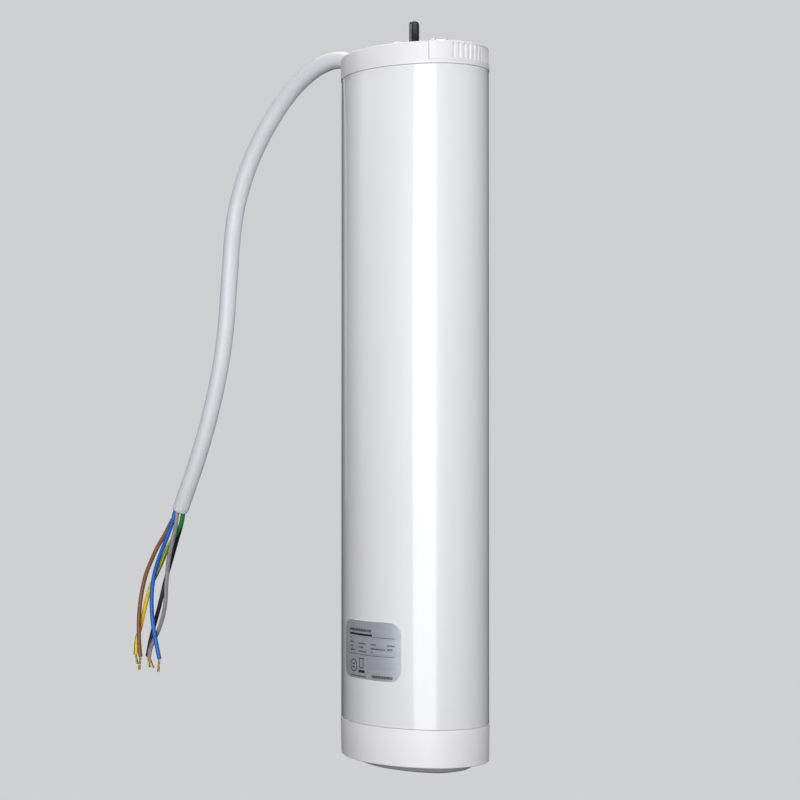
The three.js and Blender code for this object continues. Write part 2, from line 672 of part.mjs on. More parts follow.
function gearboxCase() {
  const shape = circleShape(CASE_RADIUS, 36);
  shape.holes.push(new THREE.Shape(gearPoints(RING_TEETH, 1.1, 0.8, -BACKLASH)));
  const screws = KEEPER_SCREW_ANGLES.map((angle) => {
    const at = polar(KEEPER_SCREW_CIRCLE, angle);
    return cylinder(SCREW_HOLE, -19, -10, 12).translate(at.x, at.y, 0);
  });
  return carve([
    prism(shape, CASE.bottom, CASE.plate + 0.3),
    washer(BUSH.outer + GAP, CASE_RADIUS, CASE.plate, CASE.top, 36),
  ], screws);
}

part('gearbox_case', gearboxCase(), castZinc, drive);
part('spindle_bush', washer(BUSH.inner, BUSH.outer, BUSH.low, BUSH.high), bronze, drive);

const PLANET_ANGLES = Array.from({ length: PLANETS }, (_, i) => 360 * i / PLANETS);
const PIN_RADIUS = 1.5;
const CARRIER_RADIUS = 12.4;

function pins([low, high]) {
  return PLANET_ANGLES.map((angle) => {
    const at = polar(ORBIT, angle);
    return cylinder(PIN_RADIUS, low, high, 12).translate(at.x, at.y, 0);
  });
}

// The spindle ends in a six-lobed driver at the top and carries the second stage's planets.
function driveSpindle() {
  const outline = [];
  for (let i = 0; i < SPINDLE.lobes; i += 1) {
    const middle = 360 / SPINDLE.lobes * i;
    outline.push(polar(SPINDLE.lobeRoot, middle - 14), polar(SPINDLE.lobeTip, middle - 8));
    outline.push(polar(SPINDLE.lobeTip, middle + 8), polar(SPINDLE.lobeRoot, middle + 14));
  }
  return carve([
    prism(new THREE.Shape(outline), ...SPINDLE.driver),
    cylinder(SPINDLE.radius, ...SPINDLE.shaft, 24),
    cylinder(CARRIER_RADIUS, ...SPINDLE.carrier, 28),
    ...pins(SPINDLE.pins),
  ], [washer(SPINDLE.grooveRadius, 8, ...SPINDLE.groove, 32)]);
}

part('drive_spindle', driveSpindle(), steel, drive);

function circlip() {
  const steps = 14;
  const angles = Array.from({ length: steps + 1 },
    (_, i) => CIRCLIP.opening / 2 + (360 - CIRCLIP.opening) * i / steps);
  const outside = angles.map((angle) => polar(CIRCLIP.outer, angle));
  const inside = angles.reverse().map((angle) => polar(CIRCLIP.inner, angle));
  return prism(new THREE.Shape([...outside, ...inside]), CIRCLIP.low, CIRCLIP.high);
}

part('spindle_circlip', circlip(), gearSteel, drive);

part('stage_carrier', carve([
  gear(SUN_TEETH, ...STAGE.sun), cylinder(CARRIER_RADIUS, ...STAGE.carrier, 28),
  cylinder(STAGE.hubRadius, ...STAGE.hub, 24), ...pins(STAGE.pins),
]), gearSteel, drive);

function planets(prefix, [low, high], material) {
  PLANET_ANGLES.forEach((angle, i) => {
    const at = polar(ORBIT, angle);
    const mesh = part(`${prefix}_planet_${i + 1}`, gear(PLANET_TEETH, low, high, PIN_RADIUS + GAP),
      material, drive);
    mesh.position.set(at.x, at.y, 0);
    mesh.rotation.z = rad(angle);
  });
}

planets('output', OUTPUT_PLANET, gearSteel);
planets('input', INPUT_PLANET, gearNylon);

// ---------------------------------------------------------------- motor

const SHAFT_RADIUS = 1.6;
const SHAFT_HOLE = SHAFT_RADIUS + GAP;

const SHAFT = [-134, -37.6];
const PINION = [-46.6, -37.3];
const CAN = { top: -50.3, bottom: -116, plate: 2, inner: 15.9, bore: 4.6 };
const CORE = { radius: 11, low: -98, high: -62, slots: 7, slotFloor: 6.5, slotWidth: 1.8 };
const WINDINGS = { radius: 8.8, low: -101.5, high: -58.5 };
const COMMUTATOR = { radius: 4.8, low: -113, high: -105 };
const MAGNET = { inner: 12, outer: 15.6, low: -103, high: -57 };
const BRUSH = { inner: 5.1, outer: 11, halfWidth: 2, low: -111.4, high: -106.8 };
const BELL = { top: -116.3, rim: -119, bottom: -122, holderTop: -111.7 };
const ENCODER = { radius: 8.5, low: -128, high: -124.5 };

part('motor_pinion', gear(SUN_TEETH, ...PINION, SHAFT_HOLE), bronze, drive);

part('motor_can', turned([
  [CAN.bore, CAN.top], [CASE_RADIUS, CAN.top], [CASE_RADIUS, CAN.bottom], [CAN.inner, CAN.bottom],
  [CAN.inner, CAN.top - CAN.plate], [CAN.bore, CAN.top - CAN.plate],
]), zincSteel, drive);

// The armature: a slotted core with its windings, on the shaft.
function armature() {
  const slots = Array.from({ length: CORE.slots }, (_, i) =>
    box(CORE.slotFloor, CORE.radius + 2, -CORE.slotWidth / 2, CORE.slotWidth / 2, CORE.low - 1, CORE.high + 1)
      .rotateZ(2 * Math.PI * i / CORE.slots));
  return carve([
    carve([cylinder(CORE.radius, CORE.low, CORE.high, 28)], slots),
    cylinder(WINDINGS.radius, WINDINGS.low, WINDINGS.high, 28),
    cylinder(SHAFT_RADIUS, ...SHAFT, 16),
  ]);
}

part('armature', armature(), laminations, drive);
part('commutator', washer(SHAFT_HOLE, COMMUTATOR.radius, COMMUTATOR.low, COMMUTATOR.high, 24),
  copper, drive);

for (const [name, middle] of [['magnet_left', 180], ['magnet_right', 0]]) {
  part(name, sector(MAGNET.inner, MAGNET.outer, middle - 60, middle + 60, MAGNET.low, MAGNET.high),
    ferrite, drive);
}

for (const [name, side] of [['brush_front', -1], ['brush_back', 1]]) {
  const low = Math.min(side * BRUSH.inner, side * BRUSH.outer);
  part(name, box(-BRUSH.halfWidth, BRUSH.halfWidth, low, low + BRUSH.outer - BRUSH.inner,
    BRUSH.low, BRUSH.high), carbon, drive);
}

// The end bell closes the can, and two upright holders on it sit under the brushes.
part('end_bell', carve([
  turned([
    [SHAFT_HOLE, BELL.top], [CASE_RADIUS, BELL.top], [CASE_RADIUS, BELL.rim], [9, BELL.rim - 0.5],
    [6, BELL.bottom], [SHAFT_HOLE, BELL.bottom],
  ]),
  box(-3, 3, 6.5, 11.5, BELL.top - 0.7, BELL.holderTop),
  box(-3, 3, -11.5, -6.5, BELL.top - 0.7, BELL.holderTop),
]), blackPlastic, drive);

part('encoder_wheel', washer(SHAFT_HOLE, ENCODER.radius, ENCODER.low, ENCODER.high), ferrite, drive);

// ---------------------------------------------------------------- chassis and electronics

const SPINE = { x0: -6, x1: -4, halfWidth: 18, low: -270, high: -21 };
const FLANGE_THICK = 3;
const HEAD_FLANGE = { x0: -24, halfWidth: 15, low: -22 };
const FOOT_FLANGE = { x0: -24, x1: 25, halfWidth: 12.5, low: -272 };
const STANDOFFS = [[-14, -60], [14, -60], [-14, -235], [14, -235]]; // [y, z]
const HANGERS = [[5.5, -5.5], [5.5, 5.5], [23.5, 0]]; // [x, y]
const BOARD = { x: -8, halfWidth: 17, low: -246, high: -44 };

function innerChassis() {
  const standoffs = STANDOFFS.map(([y, z]) =>
    box(BOARD.x + GAP, SPINE.x0 + 0.5, y - 2, y + 2, z - 2, z + 2));
  const hangers = HANGERS.map(([x, y]) =>
    box(x - 1.2, x + 1.2, y - 1.2, y + 1.2, BUTTON_BOARD_TOP + GAP, FOOT_FLANGE.low + 1));
  const holes = [...HEAD_SCREWS, ...FOOT_SCREWS].map(([x, y]) => cylinder(SCREW_HOLE, -280, -10, 12)
    .translate(x, y, 0));
  const loomHole = cylinder(4.2, -25, -15, 20).translate(RELIEF_FOOT.x, RELIEF_FOOT.y, 0);
  return carve([
    box(SPINE.x0, SPINE.x1, -SPINE.halfWidth, SPINE.halfWidth, SPINE.low, SPINE.high),
    box(HEAD_FLANGE.x0, SPINE.x1, -HEAD_FLANGE.halfWidth, HEAD_FLANGE.halfWidth,
      HEAD_FLANGE.low, HEAD_FLANGE.low + FLANGE_THICK),
    box(FOOT_FLANGE.x0, FOOT_FLANGE.x1, -FOOT_FLANGE.halfWidth, FOOT_FLANGE.halfWidth,
      FOOT_FLANGE.low, FOOT_FLANGE.low + FLANGE_THICK),
    ...standoffs, ...hangers,
  ], [...holes, loomHole]);
}

part('inner_chassis', innerChassis(), greyPlastic);
part('circuit_board', box(BOARD.x - BOARD_THICK, BOARD.x, -BOARD.halfWidth, BOARD.halfWidth,
  BOARD.low, BOARD.high), boardGreen);

// The board's parts stand out from it towards -X, each as a block of its own height.
const PARTS_FACE = BOARD.x - BOARD_THICK - GAP;

function onBoard(height, y0, y1, z0, z1, lift = 0) {
  return box(PARTS_FACE - height, PARTS_FACE - lift, y0, y1, z0, z1);
}

part('transformer', carve([
  onBoard(14, -12, 12, -148, -128), onBoard(12, -9, 9, -153, -123, 1),
]), laminations);
part('relay_up', onBoard(10, 1.5, 13.5, -182, -164), relayBlue);
part('relay_down', onBoard(10, -13.5, -1.5, -182, -164), relayBlue);
part('terminal_block', onBoard(9, -12, 12, -68, -56), boardGreen);

const CAPACITOR_RADIUS = 6.5;
part('capacitor', cylinder(CAPACITOR_RADIUS, -218, -194, 20)
  .translate(PARTS_FACE - CAPACITOR_RADIUS, 0, 0), blackPlastic);

const LOOM_ROUTE = [
  new THREE.Vector3(RELIEF_FOOT.x, RELIEF_FOOT.y, -12 - GAP), new THREE.Vector3(-14.4, 1.7, -26),
  new THREE.Vector3(-14.6, 0.8, -40), new THREE.Vector3(-14.6, 0, -56 + GAP),
];
part('wiring_loom', cordSolid(LOOM_ROUTE, 3.2, 8, 8), cablePvc);

export default motor;
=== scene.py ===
import json
import math
import random

import bmesh
import bpy
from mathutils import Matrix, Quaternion, Vector


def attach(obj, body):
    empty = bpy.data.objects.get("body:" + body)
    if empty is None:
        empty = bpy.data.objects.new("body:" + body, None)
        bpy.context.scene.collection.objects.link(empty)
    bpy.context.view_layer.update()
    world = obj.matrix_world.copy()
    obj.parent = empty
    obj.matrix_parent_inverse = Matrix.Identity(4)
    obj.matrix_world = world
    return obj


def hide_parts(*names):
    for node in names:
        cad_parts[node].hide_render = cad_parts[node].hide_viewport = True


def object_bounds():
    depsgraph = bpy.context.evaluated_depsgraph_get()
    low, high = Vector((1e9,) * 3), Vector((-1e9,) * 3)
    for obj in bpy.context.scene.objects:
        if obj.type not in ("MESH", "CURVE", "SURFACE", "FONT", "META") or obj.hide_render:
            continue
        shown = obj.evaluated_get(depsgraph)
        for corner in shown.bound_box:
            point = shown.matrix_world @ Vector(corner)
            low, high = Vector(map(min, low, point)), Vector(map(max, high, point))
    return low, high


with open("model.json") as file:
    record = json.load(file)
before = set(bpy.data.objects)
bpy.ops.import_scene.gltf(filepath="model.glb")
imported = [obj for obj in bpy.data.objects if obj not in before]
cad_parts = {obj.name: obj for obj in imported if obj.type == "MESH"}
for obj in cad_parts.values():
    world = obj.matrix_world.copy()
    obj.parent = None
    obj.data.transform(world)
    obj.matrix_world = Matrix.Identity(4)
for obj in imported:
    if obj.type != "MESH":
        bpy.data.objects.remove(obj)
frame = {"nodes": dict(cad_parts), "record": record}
cad_low, cad_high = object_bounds()
NODES = frame["nodes"]

MM = 0.001
rad = math.radians


# ---------------------------------------------------------------- camera

def aim(obj, target, roll=0.0):
    """Turns a light or camera to look at a point."""
    way = Vector(target) - obj.location
    obj.rotation_mode = "QUATERNION"
    obj.rotation_quaternion = way.to_track_quat("-Z", "Y") @ Quaternion((0, 0, 1), roll)


CAMERA_AT = Vector((0.6502, -0.5207, -0.1557))
CAMERA_HEADING = Vector((-0.78496, 0.61954, 0.0))
CAMERA_PITCH = rad(0.82)
LENS, SENSOR = 90, 36

camera = bpy.data.objects.new("camera", bpy.data.cameras.new("camera"))
bpy.context.scene.collection.objects.link(camera)
camera.data.sensor_width = SENSOR
camera.data.lens = LENS
camera.data.clip_start, camera.data.clip_end = 0.02, 60
camera.location = CAMERA_AT
camera_way = CAMERA_HEADING * math.cos(CAMERA_PITCH) + Vector((0, 0, math.sin(CAMERA_PITCH)))
aim(camera, CAMERA_AT + camera_way)
bpy.context.scene.camera = camera
bpy.context.scene.view_settings.view_transform = "Standard"


# ---------------------------------------------------------------- solids, in millimetres

def merge(*solids):
    """Several closed solids as one list of points and one list of faces."""
    points, faces = [], []
    for more_points, more_faces in solids:
        base = len(points)
        points += more_points
        faces += [[base + i for i in face] for face in more_faces]
    return points, faces


def moved(solid, x=0.0, y=0.0, z=0.0, turn=0.0):
    """A solid turned about the Z axis by degrees, then shifted."""
    c, s = math.cos(rad(turn)), math.sin(rad(turn))
    return [(c * p[0] - s * p[1] + x, s * p[0] + c * p[1] + y, p[2] + z) for p in solid[0]], solid[1]


def flipped(solid):
    """A solid turned upside down about the X axis."""
    return [(p[0], -p[1], -p[2]) for p in solid[0]], solid[1]


def loft(rings, closed=False):
    """Rings of equal count joined by quads: capped at both ends, or closed on themselves."""
    count = len(rings[0])
    points = [tuple(p) for ring in rings for p in ring]
    faces = []
    for k in range(len(rings) if closed else len(rings) - 1):
        here, there = k * count, (k + 1) % len(rings) * count
        for i in range(count):
            j = (i + 1) % count
            faces.append([here + i, here + j, there + j, there + i])
    if not closed:
        last = (len(rings) - 1) * count
        faces += [list(range(count))[::-1], list(range(last, last + count))]
    return points, faces


def rounded(corners, steps=5):
    """A profile of (a, b) or (a, b, radius) corners, with arcs at the rounded ones."""
    line = []
    for i, corner in enumerate(corners):
        here = Vector(corner[:2])
        radius = corner[2] if len(corner) > 2 else 0
        before, after = Vector(corners[i - 1][:2]), Vector(corners[(i + 1) % len(corners)][:2])
        if not radius:
            line.append(tuple(here))
            continue
        u, v = (before - here).normalized(), (after - here).normalized()
        half = u.angle(v) / 2
        centre = here + (u + v).normalized() * radius / math.sin(half)
        start = here + u * radius / math.tan(half) - centre
        end = here + v * radius / math.tan(half) - centre
        sweep = math.atan2(start.x * end.y - start.y * end.x, start.dot(end))
        for k in range(steps + 1):
            a = sweep * k / steps
            c, s = math.cos(a), math.sin(a)
            line.append((centre.x + c * start.x - s * start.y, centre.y + s * start.x + c * start.y))
    return line


def lathe(profile, sides=64, closed=True):
    """A [radius, z] profile turned about the Z axis. An open one starts and ends at a flat cap."""
    angles = [2 * math.pi * i / sides for i in range(sides)]
    return loft([[(r * math.cos(a), r * math.sin(a), z) for a in angles] for r, z in profile], closed)


def rod(radius, low, high, edge=0.0, sides=48):
    """A round bar with rounded ends' edges."""
    tiny = radius * 0.2
    corners = [(tiny, low), (radius, low, edge), (radius, high, edge), (tiny, high)]
    return lathe(rounded(corners, 3), sides, False)


def disc_wall(inner, outer, low, high, edge, sides):
    """A washer with rounded edges."""
    corners = [(inner, low, edge), (outer, low, edge), (outer, high, edge), (inner, high, edge)]
    return lathe(rounded(corners, 3), sides)


def inset(outline, by):
    """A closed outline moved inwards, point by point."""
    result = []
    for i, here in enumerate(outline):
        before, after = Vector(outline[i - 1]), Vector(outline[(i + 1) % len(outline)])
        here = Vector(here)
        u, v = (here - before).normalized(), (after - here).normalized()
        normal = Vector((-(u.y + v.y), u.x + v.x)).normalized()
        result.append(tuple(here + normal * by / max(0.4, math.sqrt(max(0.0, (1 + u.dot(v)) / 2)))))
    return result


def prism(outline, low, high, bottom=0.0, top=0.0, steps=3):
    """A counterclockwise outline raised from low to high, with rounded edges."""
    rings = []
    for k in range(steps + 1) if bottom else [steps]:
        a = math.pi / 2 * k / steps
        z = low + bottom * (1 - math.cos(a))
        rings.append([(x, y, z) for x, y in inset(outline, bottom * (1 - math.sin(a)))])
    for k in range(steps + 1) if top else [0]:
        a = math.pi / 2 * k / steps
        z = high - top * (1 - math.sin(a))
        rings.append([(x, y, z) for x, y in inset(outline, top * (1 - math.cos(a)))])
    return loft(rings)


def polar(radius, degrees):
    """The (x, y) of a radius and an angle."""
    return radius * math.cos(rad(degrees)), radius * math.sin(rad(degrees))


def sector_outline(inner, outer, start, end, step=1.5):
    """A counterclockwise sector of a ring."""
    count = max(2, round((end - start) / step))
    angles = [start + (end - start) * i / count for i in range(count + 1)]
    return [polar(outer, a) for a in angles] + [polar(inner, a) for a in reversed(angles)]


def brick(low, high, edge=0.25):
    """A box with rounded upright edges and softened top and bottom."""
    (x0, y0, z0), (x1, y1, z1) = low, high
    outline = rounded([(x0, y0, edge), (x1, y0, edge), (x1, y1, edge), (x0, y1, edge)], 3)
    return prism(outline, z0, z1, edge * 0.8, edge * 0.8)


def ring_about(centre, side, up, radius, sides):
    """A ring of points round a centre, in the plane of two cross directions."""
    angles = [2 * math.pi * i / sides for i in range(sides)]
    return [tuple(centre + (side * math.cos(a) + up * math.sin(a)) * radius) for a in angles]


def to_mesh(name, solid):
    """A Blender mesh in metres, with its doubled points joined and its faces turned outwards."""
    mesh = bpy.data.meshes.new(name)
    mesh.from_pydata([Vector(p) * MM for p in solid[0]], [], solid[1])
    work = bmesh.new()
    work.from_mesh(mesh)
    bmesh.ops.remove_doubles(work, verts=work.verts, dist=1e-7)
    bmesh.ops.recalc_face_normals(work, faces=work.faces)
    work.to_mesh(mesh)
    work.free()
    return mesh


def link(name, data):
    """A new object in the scene."""
    obj = bpy.data.objects.new(name, data)
    bpy.context.scene.collection.objects.link(obj)
    return obj


CARVE_WELD = 2e-6  # metres


def carve(base, joins=(), cuts=()):
    """Joins solids to the base, then cuts others away, and gives the new solid."""
    target = link("carve", to_mesh("carve", base))
    tools = []
    for solid, operation in [(s, "UNION") for s in joins] + [(s, "DIFFERENCE") for s in cuts]:
        tool = link("tool", to_mesh("tool", solid))
        tools.append(tool)
        step = target.modifiers.new("carve", "BOOLEAN")
        step.object, step.operation, step.solver = tool, operation, "EXACT"
    bpy.context.view_layer.update()
    result = bpy.data.meshes.new_from_object(target.evaluated_get(bpy.context.evaluated_depsgraph_get()))
    work = bmesh.new()
    work.from_mesh(result)
    bmesh.ops.remove_doubles(work, verts=work.verts, dist=CARVE_WELD)
    bmesh.ops.dissolve_degenerate(work, edges=work.edges, dist=CARVE_WELD)
    points = [tuple(v.co / MM) for v in work.verts]
    work.verts.index_update()
    faces = [[v.index for v in face.verts] for face in work.faces]
    work.free()
    for obj in [target, *tools]:
        bpy.data.objects.remove(obj)
    return points, faces


# ---------------------------------------------------------------- dimensions, as the CAD has them

HALF_LENGTH, HALF_DEPTH, END_RADIUS = 36.5, 26.5, 21
WALL, GAP = 2, 0.3
DRIVE_X = HALF_LENGTH - END_RADIUS
SIDE_RADIUS = (DRIVE_X ** 2 + HALF_DEPTH ** 2 - END_RADIUS ** 2) / (2 * (HALF_DEPTH - END_RADIUS))
SIDE_CENTRE = SIDE_RADIUS - HALF_DEPTH
BODY_HEIGHT, CROWN_HEIGHT, FOOT_HEIGHT, DOME_HEIGHT = 291.5, 9, 15.3, 4
CROWN_PROUD, FOOT_PROUD, FOOT_DRAFT = 0.3, 0.2, 0.25
DECK_TOP, DECK_THICK = -7.5, 3
END_STEPS, SIDE_STEPS = 40, 36


def oval(offset):
    """The section's outline at an offset outside its nominal size."""
    spread = math.degrees(math.atan2(SIDE_CENTRE, DRIVE_X))
    arcs = [
        (DRIVE_X, 0, END_RADIUS, -spread, spread, END_STEPS),
        (0, -SIDE_CENTRE, SIDE_RADIUS, spread, 180 - spread, SIDE_STEPS),
        (-DRIVE_X, 0, END_RADIUS, 180 - spread, 180 + spread, END_STEPS),
        (0, SIDE_CENTRE, SIDE_RADIUS, 180 + spread, 360 - spread, SIDE_STEPS),
    ]
    line = []
    for x, y, radius, start, end, steps in arcs:
        for i in range(steps):
            a, b = polar(radius + offset, start + (end - start) * i / steps)
            line.append((a + x, b + y))
    return line


def oval_loft(profile, closed=False):
    """A profile of [offset, z] carried round the oval."""
    return loft([[(x, y, z) for x, y in oval(offset)] for offset, z in profile], closed)


# ---------------------------------------------------------------- cable and cores

CABLE_HEADING = 190
CABLE_START = Vector((-30, -1))
HEADING = Vector(polar(1, CABLE_HEADING))
ASIDE = Vector((-HEADING.y, HEADING.x))
CABLE_RADIUS, CORE_RADIUS = 3.75, 1.0
CABLE_SIDES, CORE_SIDES, WIRE_SIDES = 40, 20, 8
CABLE_SPAN_STEPS, CORE_SPAN_STEPS = 12, 10

# Places are (reach from the start, height) or (reach, height, aside). A core has its route and the
# point of its bare end.
CABLE_ROUTE = [
    (5.6, 1.6), (11.7, 3.3), (17.7, 4.6), (23.6, 4.4), (30.5, 2.8), (37.5, -0.2), (44.4, -4.2),
    (52.3, -10.4), (60.2, -18.4), (67.1, -26.8), (73.1, -35.8), (78, -45.5), (82, -56.5),
    (84.4, -68.4), (85.8, -81.4), (87.1, -94.4), (88.5, -107.4), (90.7, -120.3), (93.9, -133.3),
    (97.9, -145.8), (102.6, -158.3), (108.1, -170.8), (114, -182.8), (119.6, -193.8),
]
CORES = {
    "blue": ([
        (121.6, -193.1, 0.9), (123.8, -199.8, 1.3), (127, -206.8, 1.6), (130.6, -213.3, 1.7),
        (133.7, -219.3, 1.7), (136.3, -226.3, 1.7), (137.6, -234.3, 1.7), (137.4, -242.3, 1.7),
        (136.2, -250.3, 1.7), (134.3, -257.3, 1.6), (132.2, -264, 1.6),
    ], (133, -270.3, 1.6)),
    "brown": ([
        (121.1, -193.3, -1.4), (127, -198.9, -1.6), (131.7, -205.7, -1.2), (136.3, -211.9, -0.6),
        (139.6, -217.8, 0), (142.7, -224.3, 0.6), (144.8, -231.1, 1), (146.4, -239.3, 1.3),
        (147.3, -248.8, 1.3), (147, -259.3, 1.1), (146.4, -264.1, 1),
    ], (147.3, -270.5, 1)),
    "grey": ([
        (119.7, -194.1, 1.6), (120.7, -200.8, 1.8), (123, -207.3, 1.4), (126.2, -215.1, 0.8),
        (128.3, -222.3, 0.1), (129.8, -230.3, -0.4), (130.7, -237.3, -0.8), (132.6, -243.9, -1),
        (135.7, -250.8, -1), (139.2, -256.3, -0.9), (141.4, -260.8, -0.7), (142, -263.9, -0.6),
    ], (138.6, -269.1, -0.6)),
    "earth": ([
        (118, -194.9, -0.3), (120.1, -199.9, -1), (123, -204.1, -1.3), (126.6, -207.9, -1.3),
        (129.9, -212.3, -1.3), (133.7, -218.5, -1.3), (137.5, -224.3, -1.3),
        (141.3, -229.9, -1.3), (144.1, -235.8, -1.3), (146.7, -243.3, -1.3),
        (149.2, -250.9, -1.3), (151.6, -256.3, -1.3), (152.6, -263.7, -1.3),
    ], (151.1, -268.1, -1.3)),
    "black": ([
        (119.3, -194.3, -1.9), (122, -199.9, -3.1), (125, -205.9, -3.7), (128, -212.3, -4),
        (130.9, -219.3, -4), (134, -227.3, -3.8), (136.5, -235.3, -3.6), (139.2, -243.3, -3.4),
        (141.8, -250.3, -3.2), (143.7, -256.3, -3), (145.7, -264.1, -2.8),
    ], (144, -269.4, -2.8)),
}


def cable_point(place):
    """The point of a (reach, height) or (reach, height, aside) place."""
    reach, z, aside = (*place, 0)[:3]
    flat = CABLE_START + HEADING * reach + ASIDE * aside
    return Vector((flat.x, flat.y, z))


def smooth_line(points, per_span):
    """A centripetal Catmull-Rom curve through the points."""
    ends = [points[0] * 2 - points[1], *points, points[-1] * 2 - points[-2]]
    line = []
    for a, b, c, d in zip(ends, ends[1:], ends[2:], ends[3:]):
        before, here, after = ((q - p).length ** 0.5 for p, q in ((a, b), (b, c), (c, d)))
        leave = ((b - a) / before - (c - a) / (before + here) + (c - b) / here) * here
        arrive = ((c - b) / here - (d - b) / (here + after) + (d - c) / after) * here
        for k in range(per_span):
            t = k / per_span
            line.append(b * (2 * t ** 3 - 3 * t ** 2 + 1) + leave * (t ** 3 - 2 * t ** 2 + t)
                        + c * (3 * t ** 2 - 2 * t ** 3) + arrive * (t ** 3 - t ** 2))
    line.append(points[-1].copy())
    return line


def frames_along(line):
    """The way ahead and a steady pair of cross directions at each point of a line."""
    final = len(line) - 1
    ways = [(line[min(i + 1, final)] - line[max(i - 1, 0)]).normalized() for i in range(final + 1)]
    side = ways[0].cross(Vector((0.3, 1, 0.1))).normalized()
    frames = []
    for before, way in zip([ways[0], *ways], ways):
        side = before.rotation_difference(way) @ side
        side = (side - way * side.dot(way)).normalized()
        frames.append((way, side, way.cross(side)))
    return frames


def tube(line, profile, sides):
    """A tube along a line. The profile lists (place along the line, radius), and a place past an end
    of the line runs straight on by so many millimetres."""
    final = len(line) - 1
    frames = frames_along(line)
    rings = []
    for place, radius in profile:
        k = min(max(int(round(place)), 0), final)
        way, side, up = frames[k]
        beyond = place - k if place < 0 or place > final else 0
        rings.append(ring_about(line[k] + way * beyond, side, up, radius, sides))
    return loft(rings)


# ---------------------------------------------------------------- materials

NOISE_SPAN = (0.3, 0.7)  # where most of a noise field's values lie
SMOOTHEST = 0.02


def remap(tree, value, source, target=(0, 1)):
    """A value carried from one range to another, and held at the ends."""
    node = tree.nodes.new("ShaderNodeMapRange")
    for label, number in zip(("From Min", "From Max", "To Min", "To Max"), (*source, *target)):
        node.inputs[label].default_value = number
    tree.links.new(value, node.inputs["Value"])
    return node.outputs["Result"]


def finish(name, color, roughness, metallic=0.0, *, shade=0.06, shade_scale=60.0, rough_swing=0.08,
           rough_scale=240.0, bump=0.1, bump_scale=900.0, depth=0.00004, stretch=(1, 1, 1), coat=0.0,
           coat_roughness=0.03, speck=0.0, speck_color=(0.35, 0.33, 0.3), speck_scale=700.0,
           speck_size=0.1, ior=1.5, color_node=None, transmission=0.0, sheen=0.0):
    """A moulded, painted or metal finish with drifting colour, uneven gloss, fine relief and specks."""
    material = bpy.data.materials.new(name)
    material.use_nodes = True
    tree = material.node_tree
    shader = tree.nodes["Principled BSDF"]
    new, wire = tree.nodes.new, tree.links.new

    for label, value in (("Metallic", metallic), ("IOR", ior), ("Coat Weight", coat),
                         ("Coat Roughness", coat_roughness), ("Transmission Weight", transmission),
                         ("Sheen Weight", sheen)):
        shader.inputs[label].default_value = value

    place = new("ShaderNodeTexCoord")
    grid = new("ShaderNodeMapping")
    grid.inputs["Scale"].default_value = stretch
    wire(place.outputs["Object"], grid.inputs["Vector"])

    def noise(scale, detail, low=0, high=1):
        """A value that drifts over the surface between two bounds."""
        field = new("ShaderNodeTexNoise")
        field.inputs["Scale"].default_value = scale
        field.inputs["Detail"].default_value = detail
        wire(grid.outputs["Vector"], field.inputs["Vector"])
        return remap(tree, field.outputs["Fac"], NOISE_SPAN, (low, high))

    def mix(factor, a, b):
        """A colour between two others, each a socket or a fixed value."""
        node = new("ShaderNodeMix")
        node.data_type = "RGBA"
        for socket, value in ((node.inputs[0], factor), (node.inputs[6], a), (node.inputs[7], b)):
            if isinstance(value, bpy.types.NodeSocket):
                wire(value, socket)
            else:
                socket.default_value = value
        return node.outputs[2]

    light = [min(1.0, c * (1 + shade)) for c in color] + [1]
    dark = [c * (1 - shade) for c in color] + [1]
    tint = mix(noise(shade_scale, 3), dark, light)
    if color_node:
        tint = color_node(tree, mix, noise)
    if speck:
        dots = new("ShaderNodeTexVoronoi")
        dots.inputs["Scale"].default_value = speck_scale
        wire(grid.outputs["Vector"], dots.inputs["Vector"])
        dot = remap(tree, dots.outputs["Distance"], (speck_size * 0.4, speck_size), (speck, 0))
        tint = mix(dot, tint, [*speck_color, 1])
    wire(tint, shader.inputs["Base Color"])
    gloss = noise(rough_scale, 4, max(SMOOTHEST, roughness - rough_swing), min(1, roughness + rough_swing))
    wire(gloss, shader.inputs["Roughness"])

    relief = new("ShaderNodeBump")
    relief.inputs["Strength"].default_value = bump
    relief.inputs["Distance"].default_value = depth
    wire(noise(bump_scale, 5), relief.inputs["Height"])
    wire(relief.outputs["Normal"], shader.inputs["Normal"])
    return material


GREENS = (0.012, 0.19, 0.035, 1), (0.02, 0.26, 0.05, 1)
YELLOWS = (0.7, 0.46, 0.02, 1), (0.82, 0.56, 0.035, 1)
GREEN_END, YELLOW_START = 0.285, 0.3  # in turns, either way from the middle of the green


def earth_stripes(tree, mix, noise):
    """Green and yellow halves that turn slowly round the core."""
    new, wire = tree.nodes.new, tree.links.new
    place = new("ShaderNodeUVMap")
    place.uv_map = "round"
    parts = new("ShaderNodeSeparateXYZ")
    wire(place.outputs["UV"], parts.inputs["Vector"])
    band = new("ShaderNodeMath")
    band.operation = "PINGPONG"
    band.inputs[1].default_value = 0.5
    wire(parts.outputs["X"], band.inputs[0])
    edge = remap(tree, band.outputs["Value"], (GREEN_END, YELLOW_START))
    return mix(edge, mix(noise(500, 3), *GREENS), mix(noise(500, 3), *YELLOWS))


